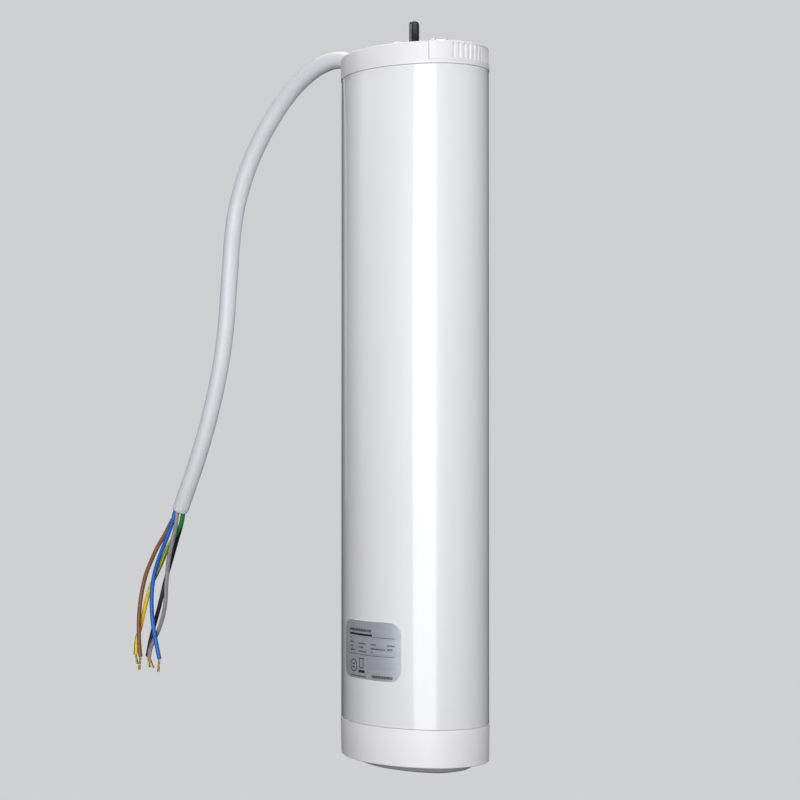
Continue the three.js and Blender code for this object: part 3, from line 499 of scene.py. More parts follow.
LOOKS = {
    "white_paint": dict(
        color=(0.765, 0.768, 0.776), roughness=0.42, coat=1.0, coat_roughness=0.035, shade=0.012,
        shade_scale=14, bump=0.05, bump_scale=420, depth=0.00002, speck=0.2, speck_scale=90,
        speck_size=0.03),
    "white_plastic": dict(
        color=(0.745, 0.74, 0.765), roughness=0.5, ior=1.3, coat=0.8, coat_roughness=0.5, shade=0.015,
        shade_scale=40, rough_scale=500, rough_swing=0.06, bump=0.25, bump_scale=2600, depth=0.00002),
    "polished_steel": dict(
        color=(0.56, 0.56, 0.58), roughness=0.2, metallic=1.0, shade=0.1, stretch=(1, 1, 0.08),
        shade_scale=900, rough_scale=1800, bump=0.25, bump_scale=2600, depth=0.00002),
    "zinc_steel": dict(
        color=(0.5, 0.51, 0.53), roughness=0.34, metallic=1.0, shade=0.14, shade_scale=350,
        rough_scale=900, bump=0.2, bump_scale=1500),
    "cable_pvc": dict(
        color=(0.645, 0.645, 0.695), roughness=0.44, shade=0.03, shade_scale=45, rough_scale=300,
        bump=0.35, bump_scale=1600, depth=0.00003, speck=0.1, speck_scale=260),
    "core_blue": dict(color=(0.014, 0.12, 0.48), roughness=0.38, shade=0.1, shade_scale=180, bump=0.2),
    "core_brown": dict(color=(0.22, 0.095, 0.05), roughness=0.42, shade=0.12, shade_scale=180, bump=0.2),
    "core_grey": dict(color=(0.25, 0.24, 0.25), roughness=0.42, shade=0.08, shade_scale=180, bump=0.2),
    "core_black": dict(color=(0.012, 0.011, 0.013), roughness=0.4, shade=0.2, shade_scale=180, bump=0.2),
    "core_green_yellow": dict(
        color=(0.5, 0.45, 0.03), roughness=0.4, color_node=earth_stripes, bump=0.2),
    "copper": dict(
        color=(0.96, 0.62, 0.24), roughness=0.34, metallic=1.0, shade=0.2, shade_scale=900,
        rough_scale=2500, bump=0.2, bump_scale=4000),
    "silver_label": dict(
        color=(0.8, 0.85, 0.92), roughness=0.4, metallic=0.72, shade=0.06, shade_scale=70,
        stretch=(1, 1, 14), rough_scale=900, bump=0.15, bump_scale=700, depth=0.00001),
    "grey_plastic": dict(color=(0.09, 0.095, 0.1), roughness=0.5, shade=0.1, bump=0.4, bump_scale=2400),
    "black_plastic": dict(
        color=(0.012, 0.012, 0.013), roughness=0.45, shade=0.2, bump=0.4, bump_scale=2400),
    "clear_lens": dict(
        color=(0.78, 0.85, 0.9), roughness=0.08, transmission=0.75, shade=0.03, rough_swing=0.03,
        bump=0.05),
    "board_green": dict(
        color=(0.015, 0.13, 0.045), roughness=0.38, coat=0.5, shade=0.18, shade_scale=260,
        stretch=(1, 1, 0.4), bump=0.5, bump_scale=900),
    "relay_blue": dict(color=(0.02, 0.12, 0.42), roughness=0.35, shade=0.08, bump=0.2),
    "rubber": dict(color=(0.014, 0.014, 0.015), roughness=0.8, shade=0.3, bump=0.6, bump_scale=1500),
    "cast_zinc": dict(
        color=(0.34, 0.345, 0.36), roughness=0.52, metallic=1.0, shade=0.15, shade_scale=200,
        bump=0.7, bump_scale=1200, depth=0.00008),
    "bronze": dict(
        color=(0.52, 0.33, 0.13), roughness=0.38, metallic=1.0, shade=0.15, shade_scale=500, bump=0.5,
        bump_scale=2200, speck=0.5, speck_color=(0.1, 0.06, 0.03), speck_scale=2500),
    "gear_steel": dict(
        color=(0.4, 0.405, 0.41), roughness=0.3, metallic=1.0, shade=0.16, shade_scale=500, bump=0.3,
        bump_scale=2200),
    "gear_nylon": dict(
        color=(0.72, 0.69, 0.58), roughness=0.48, shade=0.05, shade_scale=200, bump=0.3, sheen=0.1),
    "ferrite": dict(
        color=(0.035, 0.034, 0.036), roughness=0.66, shade=0.25, shade_scale=800, bump=0.6),
    "laminations": dict(
        color=(0.22, 0.2, 0.18), roughness=0.45, metallic=0.9, shade=0.35, stretch=(0.05, 0.05, 12),
        shade_scale=160, bump=0.8, bump_scale=260, depth=0.0001),
    "carbon": dict(color=(0.02, 0.02, 0.021), roughness=0.6, shade=0.3, shade_scale=900, bump=0.5),
}
FINISHES = {name: finish(name, **look) for name, look in LOOKS.items()}
LABEL_INK = finish("label_ink", (0.012, 0.014, 0.02), 0.55, shade=0.3, shade_scale=900, bump=0.2)

for row in frame["record"]["subparts"]:
    for slot in NODES[row["node"]].material_slots:
        slot.material = FINISHES[row["material_slot"]]


def piece(name, solid, slot, body="housing", stands_for=(), angle=28.0, material=None):
    """A finished mesh that rides on a body and takes its finish from a slot."""
    obj = link(name, to_mesh(name, solid))
    obj.data.shade_smooth()
    obj.data.set_sharp_from_angle(angle=rad(angle))
    obj.data.materials.append(material or FINISHES[slot])
    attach(obj, body)
    if stands_for:
        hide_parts(*stands_for)
    return obj


def wind_uv(obj, sides, rings, turns, start):
    """Writes a UV layer that counts turns round a tube, with a slow twist along it."""
    layer = obj.data.uv_layers.new(name="round")
    for polygon in obj.data.polygons:
        corners = [(v % sides, v // sides) for v in polygon.vertices]
        wraps = max(c[0] for c in corners) - min(c[0] for c in corners) > sides // 2
        for loop, (i, ring) in zip(polygon.loop_indices, corners):
            around = (i + sides if wraps and i < sides // 2 else i) / sides
            layer.data[loop].uv = (around + start + turns * ring / rings, ring / rings)


CUT_PROUD = 0.02  # millimetres from a line's end to the cut face
CORE_INSET = 0.02  # keeps the insulation inside the core's solid
STRIPE_TURNS, STRIPE_START = 0.55, 0.02

# The sheath has a rounded cut edge and a shallow hollow, where the cores come out.
cable_line = smooth_line([cable_point(p) for p in CABLE_ROUTE], CABLE_SPAN_STEPS)
cable_end = len(cable_line) - 1
sheath = [(k, CABLE_RADIUS) for k in range(cable_end)] + [
    (cable_end, CABLE_RADIUS - 0.22), (cable_end + CUT_PROUD, CABLE_RADIUS - 0.35),
    (cable_end + CUT_PROUD, CABLE_RADIUS - 0.95), (cable_end - 1, CABLE_RADIUS - 1.05),
]
cable = piece("cable_sheath", tube(cable_line, sheath, CABLE_SIDES), "cable_pvc",
              stands_for=["mains_cable"], angle=40)


def insulation(name, line):
    """A core's insulation along its line, with a rounded cut edge and a hollow for the copper."""
    end = len(line) - 1
    profile = [(k, CORE_RADIUS - CORE_INSET) for k in range(end + 1)] + [
        (end + CUT_PROUD, CORE_RADIUS - 0.12), (end + CUT_PROUD, 0.6), (end - 1, 0.58),
    ]
    slot = "core_green_yellow" if name == "earth" else f"core_{name}"
    core = piece(f"core_{name}_insulation", tube(line, profile, CORE_SIDES), slot,
                 stands_for=[f"core_{name}"], angle=40)
    wind_uv(core, CORE_SIDES, end, STRIPE_TURNS, STRIPE_START)
    return core


WIRE_COUNT, WIRE_RADIUS, WIRE_TIP, WIRE_STEPS = 7, 0.175, 0.16, 26
WIRE_ORBIT, WIRE_SPLAY, WIRE_TURNS = 0.34, 0.35, 0.9
WIRE_HIDDEN = 0.6  # millimetres inside the insulation


def bare_wires(name, start, tip):
    """Six wires twisted round a seventh, a little spread at the tip and cut unevenly."""
    way, reach = (tip - start).normalized(), (tip - start).length
    side = way.cross(Vector((0, 1, 0.2))).normalized()
    up = way.cross(side)
    dice = random.Random(name)
    wires = []
    for number in range(WIRE_COUNT):
        orbit = 0.0 if number == WIRE_COUNT - 1 else WIRE_ORBIT
        start_angle = 2 * math.pi * number / (WIRE_COUNT - 1)
        cut = reach * dice.uniform(0.94, 1.0)
        path = []
        for k in range(WIRE_STEPS + 1):
            t = k / WIRE_STEPS
            a = start_angle + 2 * math.pi * WIRE_TURNS * t
            spread = orbit * (1 + WIRE_SPLAY * t ** 4)
            path.append(start + way * (cut * t - WIRE_HIDDEN * (1 - t))
                        + (side * math.cos(a) + up * math.sin(a)) * spread)
        profile = [(k, WIRE_RADIUS) for k in range(WIRE_STEPS)] + [(WIRE_STEPS, WIRE_TIP)]
        wires.append(tube(path, profile, WIRE_SIDES))
    return piece(f"core_{name}_wires", merge(*wires), "copper", stands_for=[f"strands_{name}"], angle=50)


for name, (route, tip) in CORES.items():
    line = smooth_line([cable_point(p) for p in route], CORE_SPAN_STEPS)
    core = insulation(name, line)
    bare_wires(name, cable_point(route[-1]), cable_point(tip))


# ---------------------------------------------------------------- tube, crown and foot

SEAM = 0.12
TUBE_TOP = -CROWN_HEIGHT - SEAM
FOOT_TOP = FOOT_HEIGHT - BODY_HEIGHT
piece("tube_shell", oval_loft(rounded([
    (0, FOOT_TOP + SEAM, 0.15), (0, TUBE_TOP, 0.15), (-WALL, TUBE_TOP, 0.15),
    (-WALL, FOOT_TOP + SEAM, 0.15),
], 3), True), "white_paint", stands_for=["tube_housing"])

RING_BORE, RING_LIP_BORE, RING_RADIUS, RING_TOP, LIP_TOP = 12.1, 13.9, 17.6, -1.5, -3.4
GRIP_RADIUS, GRIP_HALF_ANGLE, GRIP_TOP, UNLOCK_ANGLE = 20.9, 48.95, 0.3, 35
GRIP_BOTTOM = DECK_TOP + 0.1
GRIP_ROOT = RING_RADIUS - 0.8
WINDOW_START = -GRIP_HALF_ANGLE - 0.25
WINDOW_END = GRIP_HALF_ANGLE + UNLOCK_ANGLE + 1.15
BOSS_RADIUS, BOSS_TOP, SPINDLE_BORE = 11.8, -3.2, 6.5
PEG_X, PEG_Y, PEG_RADIUS, PEG_TOP = -4.2, 5.5, 2.3, 5.6
SCREW_HOLE, KEEPER_SCREW_CIRCLE, KEEPER_SCREW_ANGLES = 1.6, 9.6, (60, 180, 300)
HEAD_SCREWS = ((-14, 13), (-14, -13))
NOSE_ROOT, NOSE_TIP, NOTCH_END = (-16, -3.8), (5.3, 1.5), (12, 3.2)
NOSE_ROOT_RADIUS, NOSE_TIP_RADIUS = 5.2, 4.3
RELIEF_FOOT_RADIUS, RELIEF_FOOT_LOW = 4.5, -12
relief_foot = cable_point((-16, RELIEF_FOOT_LOW))
THROUGH_CROWN = (-30, 5)  # from under the crown to above its rim


def cone_between(start, end, profile, sides=48):
    """A round solid from one point to another. The profile lists (share of the way, radius)."""
    way = (end - start).normalized()
    side = way.cross(Vector((0, 0, 1))).normalized()
    up = side.cross(way)
    return loft([ring_about(start.lerp(end, share), side, up, radius, sides)
                 for share, radius in profile])


# The crown: a skirt inside the tube, a deck, a proud wall with the grip's window, a boss and two pegs.
SKIRT_BOTTOM = -14
DECK_BOTTOM = DECK_TOP - DECK_THICK
crown_body = oval_loft(rounded([
    (-2 * WALL - 1.5, DECK_BOTTOM), (-2 * WALL, DECK_BOTTOM, 0.4), (-2 * WALL, SKIRT_BOTTOM),
    (-WALL - GAP, SKIRT_BOTTOM, 0.3), (-WALL - GAP, -CROWN_HEIGHT), (CROWN_PROUD, -CROWN_HEIGHT, 0.12),
    (CROWN_PROUD, 0, 0.55), (-WALL, 0, 0.35), (-WALL, DECK_TOP, 0.5), (-WALL - 1.5, DECK_TOP),
], 5))
window = prism(sector_outline(RING_RADIUS + GAP, GRIP_RADIUS + 6, WINDOW_START, WINDOW_END),
               DECK_TOP - 0.02, 1)
peg = rod(PEG_RADIUS, DECK_TOP - 1, PEG_TOP, 0.85)
keeper_screw_places = [polar(KEEPER_SCREW_CIRCLE, a) for a in KEEPER_SCREW_ANGLES]
screw_hole = rod(SCREW_HOLE, *THROUGH_CROWN, sides=32)
screw_holes = merge(*[moved(screw_hole, DRIVE_X + x, y) for x, y in keeper_screw_places],
                    *[moved(screw_hole, x, y) for x, y in HEAD_SCREWS])
nose_notch = cone_between(cable_point(NOSE_ROOT), cable_point(NOTCH_END),
                          [(0, NOSE_ROOT_RADIUS + GAP), (1, NOSE_TIP_RADIUS + GAP)])
crown = carve(crown_body, [
    moved(rod(BOSS_RADIUS, DECK_TOP - 1, BOSS_TOP, 0.4, 96), DRIVE_X),
    moved(peg, PEG_X, PEG_Y), moved(peg, PEG_X, -PEG_Y),
], [
    moved(window, DRIVE_X), moved(rod(SPINDLE_BORE, *THROUGH_CROWN, sides=64), DRIVE_X), nose_notch,
    moved(rod(RELIEF_FOOT_RADIUS + GAP, *THROUGH_CROWN), relief_foot.x, relief_foot.y), screw_holes,
])
piece("crown_cap", crown, "white_plastic", stands_for=["head_cap"])

# Lock ring: an L-shaped ring with the grip at its edge, ribbed between two plain bands.
ring_body = lathe(rounded([
    (RING_BORE, DECK_TOP + GAP, 0.2), (RING_RADIUS, DECK_TOP + GAP, 0.2), (RING_RADIUS, RING_TOP, 0.35),
    (RING_LIP_BORE, RING_TOP, 0.3), (RING_LIP_BORE, LIP_TOP, 0.3), (RING_BORE, LIP_TOP, 0.2),
], 4), 120)
GRIP_STEPS, GRIP_END_SHRINK = 64, 0.12
RIB_PITCH, FIRST_RIB, RIB_COUNT = 6.62, -20.9, 10
RIB_DEPTH, RIB_LOW, RIB_HIGH = 0.6, -6.5, -0.6
FLUTE = [(-RIB_DEPTH, 0.5), (-0.42, 1.1), (RIB_DEPTH, 3.0)]  # (out from the grip's face, half angle)


def grip():
    """The grip's arc, with its two end faces a little smaller for a broken edge."""
    profile = rounded([
        (GRIP_ROOT, GRIP_BOTTOM), (GRIP_RADIUS, GRIP_BOTTOM, 0.2), (GRIP_RADIUS, GRIP_TOP, 0.4),
        (GRIP_ROOT, GRIP_TOP, 0.3),
    ], 4)
    middle_r, middle_z = (RING_RADIUS + GRIP_RADIUS) / 2, (GRIP_BOTTOM + GRIP_TOP) / 2
    rings = []
    for k in range(GRIP_STEPS + 1):
        angle = -GRIP_HALF_ANGLE + 2 * GRIP_HALF_ANGLE * k / GRIP_STEPS
        shrink = GRIP_END_SHRINK if k in (0, GRIP_STEPS) else 0.0
        rings.append([(*polar(r + math.copysign(shrink, middle_r - r), angle),
                       z + math.copysign(shrink, middle_z - z)) for r, z in profile])
    return loft(rings)


def flute(middle):
    """The hollow between two ribs."""
    near = [polar(GRIP_RADIUS + out, middle - half) for out, half in FLUTE]
    far = [polar(GRIP_RADIUS + out, middle + half) for out, half in reversed(FLUTE)]
    return prism((near + far)[::-1], RIB_LOW, RIB_HIGH)


TONGUE_WIDTH, TONGUE_THICK, TONGUE_LOW, TONGUE_TOP = 4.4, 1.4, -6, 14.3
SLOT_SLACK = 0.15
slot_half_thick, slot_half_width = TONGUE_THICK / 2 + SLOT_SLACK, TONGUE_WIDTH / 2 + SLOT_SLACK
tongue_slot = brick((-DRIVE_X - slot_half_thick, -slot_half_width, TONGUE_LOW - GAP),
                    (-DRIVE_X + slot_half_thick, slot_half_width, 1), 0.12)
flutes = merge(*[flute(FIRST_RIB + i * RIB_PITCH) for i in range(RIB_COUNT)])
piece("ring_and_grip", moved(carve(ring_body, [grip()], [flutes, tongue_slot]), DRIVE_X),
      "white_plastic", "lock", ["lock_ring"])

# Steel tongue: a stamped strip with rounded shoulders and broken edges, stood on end.
TONGUE_HALF = TONGUE_WIDTH / 2
strip = rounded([
    (-TONGUE_HALF, TONGUE_LOW), (TONGUE_HALF, TONGUE_LOW),
    (TONGUE_HALF, TONGUE_TOP, 1.5), (-TONGUE_HALF, TONGUE_TOP, 1.5),
], 10)
blade_points, blade_faces = prism(strip, -TONGUE_THICK / 2, TONGUE_THICK / 2, 0.12, 0.12)
piece("catch_tongue", ([(z, x, y) for x, y, z in blade_points], blade_faces), "polished_steel",
      "lock", ["lock_tongue"], 35)

THREAD_CREST, THREAD_ROOT, THREAD_PITCH = 1.28, 0.98, 0.7
RECESS_REACH, RECESS_HALF, RECESS_DEPTH = 1.5, 0.28, 0.8
ABOVE_HEAD = 9


def pan_screw(head_radius, head_height, length):
    """A pan-head screw with a cross recess and a threaded shank, its seat at z = 0."""
    head = lathe(rounded([
        (0.3, -0.02), (head_radius, -0.02, 0.1), (head_radius, head_height * 0.55, 0.5),
        (head_radius * 0.62, head_height, 0.9), (0.3, head_height),
    ], 5), 48, False)
    thread = [(1.0, -length)]
    z = -length + 0.6
    while z < -0.8:
        thread += [(THREAD_CREST, z), (THREAD_ROOT, z + THREAD_PITCH / 2)]
        z += THREAD_PITCH
    shank = lathe([(0.35, -length), *thread, (1.05, 0.3), (0.3, 0.3)], 20, False)
    recess = head_height - RECESS_DEPTH
    cuts = [
        brick((-RECESS_REACH, -RECESS_HALF, recess), (RECESS_REACH, RECESS_HALF, ABOVE_HEAD), 0.1),
        brick((-RECESS_HALF, -RECESS_REACH, recess), (RECESS_HALF, RECESS_REACH, ABOVE_HEAD), 0.1),
        lathe([(0.1, head_height - 1.1), (0.75, head_height - 0.5), (0.75, ABOVE_HEAD),
               (0.1, ABOVE_HEAD)], 24, False),
    ]
    return carve(head, [shank], cuts)


# The screws stand at different turns, as hand-driven ones do.
keeper_screw = pan_screw(2.4, 1.6, 15)
head_screw = pan_screw(2.8, 1.9, 16)
foot_screw = pan_screw(2.8, 1.9, 21)
KEEPER_BORE, KEEPER_RADIUS, KEEPER_LOW, KEEPER_HIGH = 6.9, 13.5, -2.9, -1.7
for i, (x, y) in enumerate(keeper_screw_places):
    piece(f"keeper_fixing_{i + 1}", moved(keeper_screw, DRIVE_X + x, y, KEEPER_HIGH + GAP, 17 + 40 * i),
          "zinc_steel", stands_for=[f"keeper_screw_{i + 1}"])
for i, (x, y) in enumerate(HEAD_SCREWS):
    piece(f"head_fixing_{i + 1}", moved(head_screw, x, y, DECK_TOP + GAP, 25 + 50 * i), "zinc_steel",
          stands_for=[f"head_screw_{i + 1}"])

keeper_holes = merge(*[moved(rod(SCREW_HOLE, -5, 5, sides=32), x, y) for x, y in keeper_screw_places])
keeper_disc = disc_wall(KEEPER_BORE, KEEPER_RADIUS, KEEPER_LOW, KEEPER_HIGH, 0.15, 96)
keeper = carve(keeper_disc, cuts=[keeper_holes])
piece("keeper_plate", moved(keeper, DRIVE_X), "zinc_steel", stands_for=["ring_keeper"])

# Spindle: six rounded lobes over a turned shaft, a disc and three planet pins.
LOBE_COUNT, LOBE_ROUND = 6, 0.45
LOBE = [(4.7, -20), (4.7, -14), (6.05, -9), (6.05, 9), (4.7, 14)]  # (radius, angle) from its middle
DRIVER_LOW, DRIVER_HIGH = -1, 3.6
SHAFT_RADIUS, GROOVE_RADIUS, GROOVE_LOW, GROOVE_HIGH, SHAFT_TOP = 5, 4.1, -12.7, -11.1, -0.8
CARRIER_RADIUS, CARRIER_LOW, CARRIER_HIGH = 12.4, -22.4, -19.2
PIN_RADIUS, PIN_ORBIT, PIN_LOW, PIN_HIGH = 1.5, 8.775, -32.8, -22
driver_outline = rounded([(*polar(radius, 360 // LOBE_COUNT * i + angle), LOBE_ROUND)
                          for i in range(LOBE_COUNT) for radius, angle in LOBE], 3)
driver = prism(driver_outline, DRIVER_LOW, DRIVER_HIGH, 0.1, 0.35)
shaft = lathe(rounded([
    (1, CARRIER_LOW), (CARRIER_RADIUS, CARRIER_LOW, 0.2), (CARRIER_RADIUS, CARRIER_HIGH, 0.2),
    (SHAFT_RADIUS, CARRIER_HIGH), (SHAFT_RADIUS, GROOVE_LOW), (GROOVE_RADIUS, GROOVE_LOW),
    (GROOVE_RADIUS, GROOVE_HIGH), (SHAFT_RADIUS, GROOVE_HIGH), (SHAFT_RADIUS, SHAFT_TOP, 0.2),
    (1, SHAFT_TOP),
], 3), 64, False)
pins = [moved(rod(PIN_RADIUS, PIN_LOW, PIN_HIGH, 0.2, 24), *polar(PIN_ORBIT, a)) for a in (0, 120, 240)]
centre_drill = lathe([(0.1, 1.6), (1.1, 3.0), (1.9, 3.7), (1.9, 6), (0.1, 6)], 32, False)
piece("lobed_spindle", moved(carve(shaft, [driver, *pins], [centre_drill]), DRIVE_X), "polished_steel",
      "spindle", ["drive_spindle"])

# Strain relief: a clamp block on the deck, and a nose with grooves that let it bend.
CLAMP_HALF_WIDTH, CLAMP_TOP = 5.5, 1.2
NOSE_STEPS, NOSE_GROOVE, NOSE_EDGE = 40, 0.4, 0.25
back, front = cable_point((-20, 0)), cable_point((-11, 0))
clamp_half = (back - front).length / 2
clamp = moved(brick((-clamp_half, -CLAMP_HALF_WIDTH, DECK_TOP + GAP),
                    (clamp_half, CLAMP_HALF_WIDTH, CLAMP_TOP), 0.5),
              (back.x + front.x) / 2, (back.y + front.y) / 2, 0, CABLE_HEADING)
foot_rod = moved(rod(RELIEF_FOOT_RADIUS, RELIEF_FOOT_LOW, DECK_TOP + 2, 0.3),
                 relief_foot.x, relief_foot.y)
nose_profile = []  # grooved over its outer half
for k in range(NOSE_STEPS + 1):
    share = k / NOSE_STEPS
    radius = NOSE_ROOT_RADIUS + (NOSE_TIP_RADIUS - NOSE_ROOT_RADIUS) * share
    groove = NOSE_GROOVE if 0.5 < share < 0.98 and k % 4 in (0, 1) else 0.0
    nose_profile.append((share, radius - groove - (NOSE_EDGE if k == NOSE_STEPS else 0)))
nose = cone_between(cable_point(NOSE_ROOT), cable_point(NOSE_TIP), nose_profile)
under_deck = rod(60, -40, DECK_TOP + GAP)
piece("bend_relief", carve(clamp, [foot_rod, carve(nose, cuts=[under_deck])]), "white_plastic",
      stands_for=["strain_relief"])

# Foot cap: a band proud of the tube, a flat underside and a low dome.
FLOOR_TOP = -BODY_HEIGHT + 3
DOME_BOTTOM = -BODY_HEIGHT - DOME_HEIGHT
FOOT_SKIRT_TOP = -267
FOOT_SCREWS = ((-14, 10), (-14, -10))
POST_RADIUS, POST_TOP = 3.6, -272.4
SEAT_RADIUS, SEAT_Z = 3.2, -290.4
BELOW_FOOT, ABOVE_POSTS, ABOVE_FLOOR = -300, -260, -280
BUTTON_X, BUTTON_RADIUS, BUTTON_FLANGE, BUTTON_BORE, BUTTON_TOP = 10, 3, 4.2, 3.3, -286.6
LENS_X, LENS_RADIUS, LENS_BORE, LENS_TOP = 21, 1.6, 1.9, -286
foot_body = oval_loft(rounded([
    (-14.5, FLOOR_TOP), (-2 * WALL, FLOOR_TOP, 0.5), (-2 * WALL, FOOT_SKIRT_TOP, 0.3),
    (-WALL - GAP, FOOT_SKIRT_TOP, 0.4), (-WALL - GAP, FOOT_TOP), (FOOT_PROUD, FOOT_TOP, 0.15),
    (FOOT_PROUD - FOOT_DRAFT, -BODY_HEIGHT, 0.5), (-4, -BODY_HEIGHT, 1.0),
    (-8, DOME_BOTTOM + 1.2, 4.0), (-13.5, DOME_BOTTOM, 4.0), (-14.5, DOME_BOTTOM),
], 6))
posts = [moved(rod(POST_RADIUS, FLOOR_TOP - 1, POST_TOP, 0.2), x, y) for x, y in FOOT_SCREWS]
bores = [
    merge(*[moved(rod(SCREW_HOLE, BELOW_FOOT, ABOVE_POSTS, sides=32), x, y) for x, y in FOOT_SCREWS]),
    merge(*[moved(rod(SEAT_RADIUS, BELOW_FOOT, SEAT_Z), x, y) for x, y in FOOT_SCREWS]),
    merge(moved(rod(BUTTON_BORE, BELOW_FOOT, ABOVE_FLOOR), BUTTON_X),
          moved(rod(LENS_BORE, BELOW_FOOT, ABOVE_FLOOR), LENS_X)),
]
piece("foot_cover", carve(foot_body, posts, bores), "white_plastic", stands_for=["foot_cap"])
for i, (x, y) in enumerate(FOOT_SCREWS):
    piece(f"foot_fixing_{i + 1}", moved(flipped(foot_screw), x, y, SEAT_Z - GAP, 30 * i + 10),
          "zinc_steel", stands_for=[f"foot_screw_{i + 1}"])

piece("set_button_cap", moved(lathe(rounded([
    (0.3, DOME_BOTTOM + 0.75), (2.2, DOME_BOTTOM + 0.65, 0.5), (BUTTON_RADIUS, DOME_BOTTOM + 0.5, 0.35),
    (BUTTON_RADIUS, FLOOR_TOP + GAP), (BUTTON_FLANGE, FLOOR_TOP + GAP, 0.2),
    (BUTTON_FLANGE, BUTTON_TOP, 0.2), (0.3, BUTTON_TOP),
], 4), 48, False), BUTTON_X), "grey_plastic", "button", ["set_button"])
piece("lens_cap", moved(lathe(rounded([
    (0.2, DOME_BOTTOM + 0.2), (1.0, DOME_BOTTOM + 0.25, 0.5), (LENS_RADIUS, DOME_BOTTOM + 0.8, 0.4),
    (LENS_RADIUS, LENS_TOP, 0.15), (0.2, LENS_TOP),
], 5), 40, False), LENS_X), "clear_lens", stands_for=["status_lens"])


# ---------------------------------------------------------------- label

LABEL_WIDTH, LABEL_HEIGHT, LABEL_CORNER, LABEL_THICK = 34.8, 23.6, 5, 0.25
LABEL_RADIUS = SIDE_RADIUS + 0.15
LABEL_ANGLE, LABEL_Z = rad(-90 + 3.4), -245.8
LABEL_COLUMNS = 64
LABEL_SHRINK = 0.9995  # keeps the end columns just inside the rounded corners
INK_LOW, INK_HIGH = LABEL_THICK - 0.02, LABEL_THICK + 0.02


def on_label(s, z, lift):
    """A point on the label: s runs round the tube from the label's middle, and z up from it."""
    angle, r = LABEL_ANGLE + s / LABEL_RADIUS, LABEL_RADIUS + lift
    return r * math.cos(angle), SIDE_CENTRE + r * math.sin(angle), LABEL_Z + z


def patch(columns, low, high):
    """A thin curved patch from one lift to another. Its columns are (s, bottom, top)."""
    return loft([[on_label(s, bottom, low), on_label(s, top, low), on_label(s, top, high),
                  on_label(s, bottom, high)] for s, bottom, top in columns])


def label_edge(s):
    """The label's half height at s, less near the rounded corners."""
    over = abs(s) - (LABEL_WIDTH / 2 - LABEL_CORNER)
    full = LABEL_HEIGHT / 2
    return full - LABEL_CORNER + math.sqrt(max(LABEL_CORNER ** 2 - over ** 2, 0)) if over > 0 else full


# The columns crowd towards the ends, where the corners are.
columns = [LABEL_WIDTH / 2 * math.sin(math.pi * (i / LABEL_COLUMNS - 0.5)) * LABEL_SHRINK
           for i in range(LABEL_COLUMNS + 1)]
piece("rating_plate", patch([(s, -label_edge(s), label_edge(s)) for s in columns], 0, LABEL_THICK),
      "silver_label", stands_for=["rating_label"], angle=50)


def bar(s0, s1, z, height):
    """A printed bar that follows the label's curve."""
    count = max(2, math.ceil(s1 - s0))
    row = [s0 + (s1 - s0) * i / count for i in range(count + 1)]
    return patch([(s, z - height / 2, z + height / 2) for s in row], INK_LOW, INK_HIGH)


def ring_mark(s, z, radius, width, steps=40):
    """A printed ring."""
    inner = radius - width
    section = [(inner, INK_LOW), (radius, INK_LOW), (radius, INK_HIGH), (inner, INK_HIGH)]
    angles = [2 * math.pi * k / steps for k in range(steps)]
    return loft([[on_label(s + r * math.cos(a), z + r * math.sin(a), lift) for r, lift in section]
                 for a in angles], True)


label_dice = random.Random(7)


def dashes(s0, s1, z, height):
    """A row of short strokes in place of small print."""
    marks, s = [], s0
    while s < s1 - 0.15:
        width = min(label_dice.uniform(0.28, 0.6), s1 - s)
        marks.append(bar(s, s + width, z + label_dice.uniform(-0.03, 0.03),
                         height * label_dice.uniform(0.75, 1.0)))
        s += width + label_dice.uniform(0.14, 0.24)
    return marks


# Bars are (start, end, middle height, height), and rows of strokes (start, end, middle height).
RULES = [
    (-12.7, 3.0, 6.15, 0.85), (3.0, 14.5, 5.5, 0.14), (-12.7, 14.6, -2.0, 0.16), (-5.6, -1.5, -8.9, 1.1),
]
SMALL_ROWS = [
    (-12.1, -11.2, 4.4), (-12.1, -9.0, 2.7), (-12.1, -9.8, 1.1), (-12.1, -8.1, -0.5), (-5.4, -0.9, 2.5),
    (-5.4, -2.2, 0.95), (-5.5, -0.4, -0.7), (2.4, 5.2, 2.5), (2.4, 10.0, 0.8), (2.4, 3.4, -0.6),
    (10.8, 14.5, 2.55), (11.0, 13.5, 1.0),
]
RING_BARS = [(-10.3, -8.5, -6.1, 0.5), (-10.3, -8.5, -7.5, 0.5)]
FRAME_BARS = [
    (-5.3, -1.9, -3.6, 0.34), (-4.9, -2.3, -7.4, 0.34), (-5.0, -4.66, -5.5, 3.5), (-2.6, -2.26, -5.5, 3.5),
]
print_marks = [bar(*rule) for rule in RULES] + dashes(-12.6, 2.6, 7.9, 1.25)
for small_row in SMALL_ROWS:
    print_marks += dashes(*small_row, 0.62)
print_marks += dashes(-12.1, -0.5, -10.9, 0.6) + dashes(2.8, 13.5, -10.4, 1.3)
print_marks += [ring_mark(-9.4, -6.8, 2.6, 0.38)] + [bar(*mark) for mark in RING_BARS + FRAME_BARS]
piece("plate_print", merge(*print_marks), "silver_label", angle=50, material=LABEL_INK)


# ---------------------------------------------------------------- studio, in metres

FLOOR_DROP = 0.45
BOWL_RADIUS, BOWL_BEND, BOWL_HEIGHT, BOWL_SIDES = 3.6, 1.6, 4.2, 96


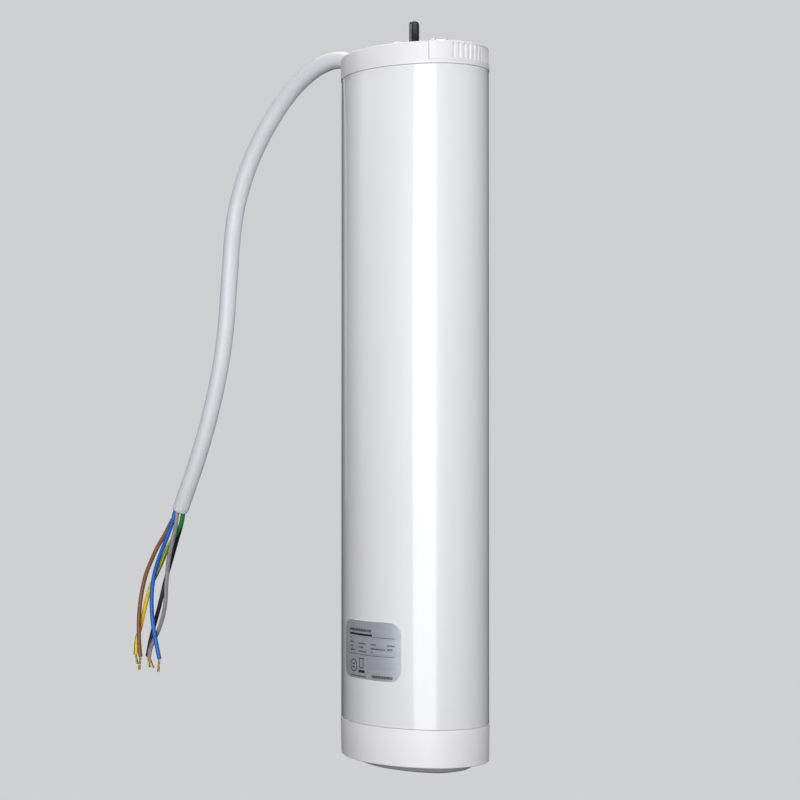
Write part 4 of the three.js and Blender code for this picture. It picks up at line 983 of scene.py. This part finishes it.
def bowl(floor_z):
    """A round floor that bends up into a wall on every side, with its faces turned inwards."""
    sweep = rounded([(0.01, 0.0), (BOWL_RADIUS, 0.0, BOWL_BEND), (BOWL_RADIUS, BOWL_HEIGHT)], 24)
    angles = [2 * math.pi * i / BOWL_SIDES for i in range(BOWL_SIDES)]
    points = [(r * math.cos(a), r * math.sin(a), floor_z + z) for r, z in sweep for a in angles]
    faces = []
    for k in range(len(sweep) - 1):
        here, there = k * BOWL_SIDES, (k + 1) * BOWL_SIDES
        for i in range(BOWL_SIDES):
            j = (i + 1) % BOWL_SIDES
            faces.append([here + i, there + i, there + j, here + j])
    faces.append(list(range(BOWL_SIDES)))
    mesh = bpy.data.meshes.new("backdrop")
    mesh.from_pydata(points, [], faces)
    mesh.shade_smooth()
    return mesh


# The paper gives a little light of its own, so the floor and wall are evenly pale.
paper = finish("paper", (0.2, 0.2, 0.204), 0.9, shade=0.015, shade_scale=3, bump=0.1, bump_scale=300)
paper_shader = paper.node_tree.nodes["Principled BSDF"]
paper_shader.inputs["Emission Color"].default_value = (0.62, 0.625, 0.64, 1)
paper_shader.inputs["Emission Strength"].default_value = 0.95
backdrop = link("backdrop", bowl(cad_low.z - FLOOR_DROP))
backdrop.data.materials.append(paper)
backdrop.visible_glossy = backdrop.visible_diffuse = False


def softbox(name, azimuth, distance, z, width, height, power, target_z=None, roll=0.0, glossy=True,
            diffuse=True):
    """A rectangular light at an azimuth from +X about the Z axis, level unless it has a target."""
    data = bpy.data.lights.new(name, "AREA")
    data.shape = "RECTANGLE"
    data.size, data.size_y, data.energy = width, height, power
    obj = link(name, data)
    obj.location = (*polar(distance, azimuth), z)
    aim(obj, (0, 0, z if target_z is None else target_z), roll)
    obj.visible_camera, obj.visible_glossy, obj.visible_diffuse = False, glossy, diffuse


# A light without diffuse only shows as a reflection, and one without gloss only as shading.
softbox("strip", -60, 1.3, -0.09, 0.84, 1.52, 12.5, diffuse=False)
softbox("key left", -80, 1.4, 0.1, 0.8, 1.2, 6.4, glossy=False)
softbox("key right", -45, 1.4, 0.1, 0.8, 1.2, 17.8, glossy=False)
softbox("far fill", 45, 1.6, 0.1, 0.8, 1.4, 11.9, glossy=False)
softbox("back fill", 142, 1.6, 0.25, 0.5, 1.2, 14, glossy=False)
softbox("rim", 169, 1.5, 0.2, 0.07, 1.0, 0.06, roll=rad(20), diffuse=False)
softbox("top", 150, 0.35, 1.15, 0.9, 0.9, 16, target_z=-0.1)
softbox("low fill", -60, 0.7, -1.0, 0.5, 0.3, 0.9, target_z=-0.29, glossy=False)
softbox("left card", -142, 1.5, 0.35, 0.5, 1.2, 0.35, diffuse=False)
softbox("tongue side card", -142, 1.5, 0.46, 0.4, 0.32, 1.5, diffuse=False)
softbox("tongue face card", 38, 1.5, 0.46, 0.4, 0.32, 0.07, diffuse=False)

world = bpy.data.worlds.new("studio")
bpy.context.scene.world = world
world.use_nodes = True
sky = world.node_tree.nodes["Background"]
sky.inputs["Color"].default_value = (0.95, 0.97, 1, 1)
sky.inputs["Strength"].default_value = 0.03
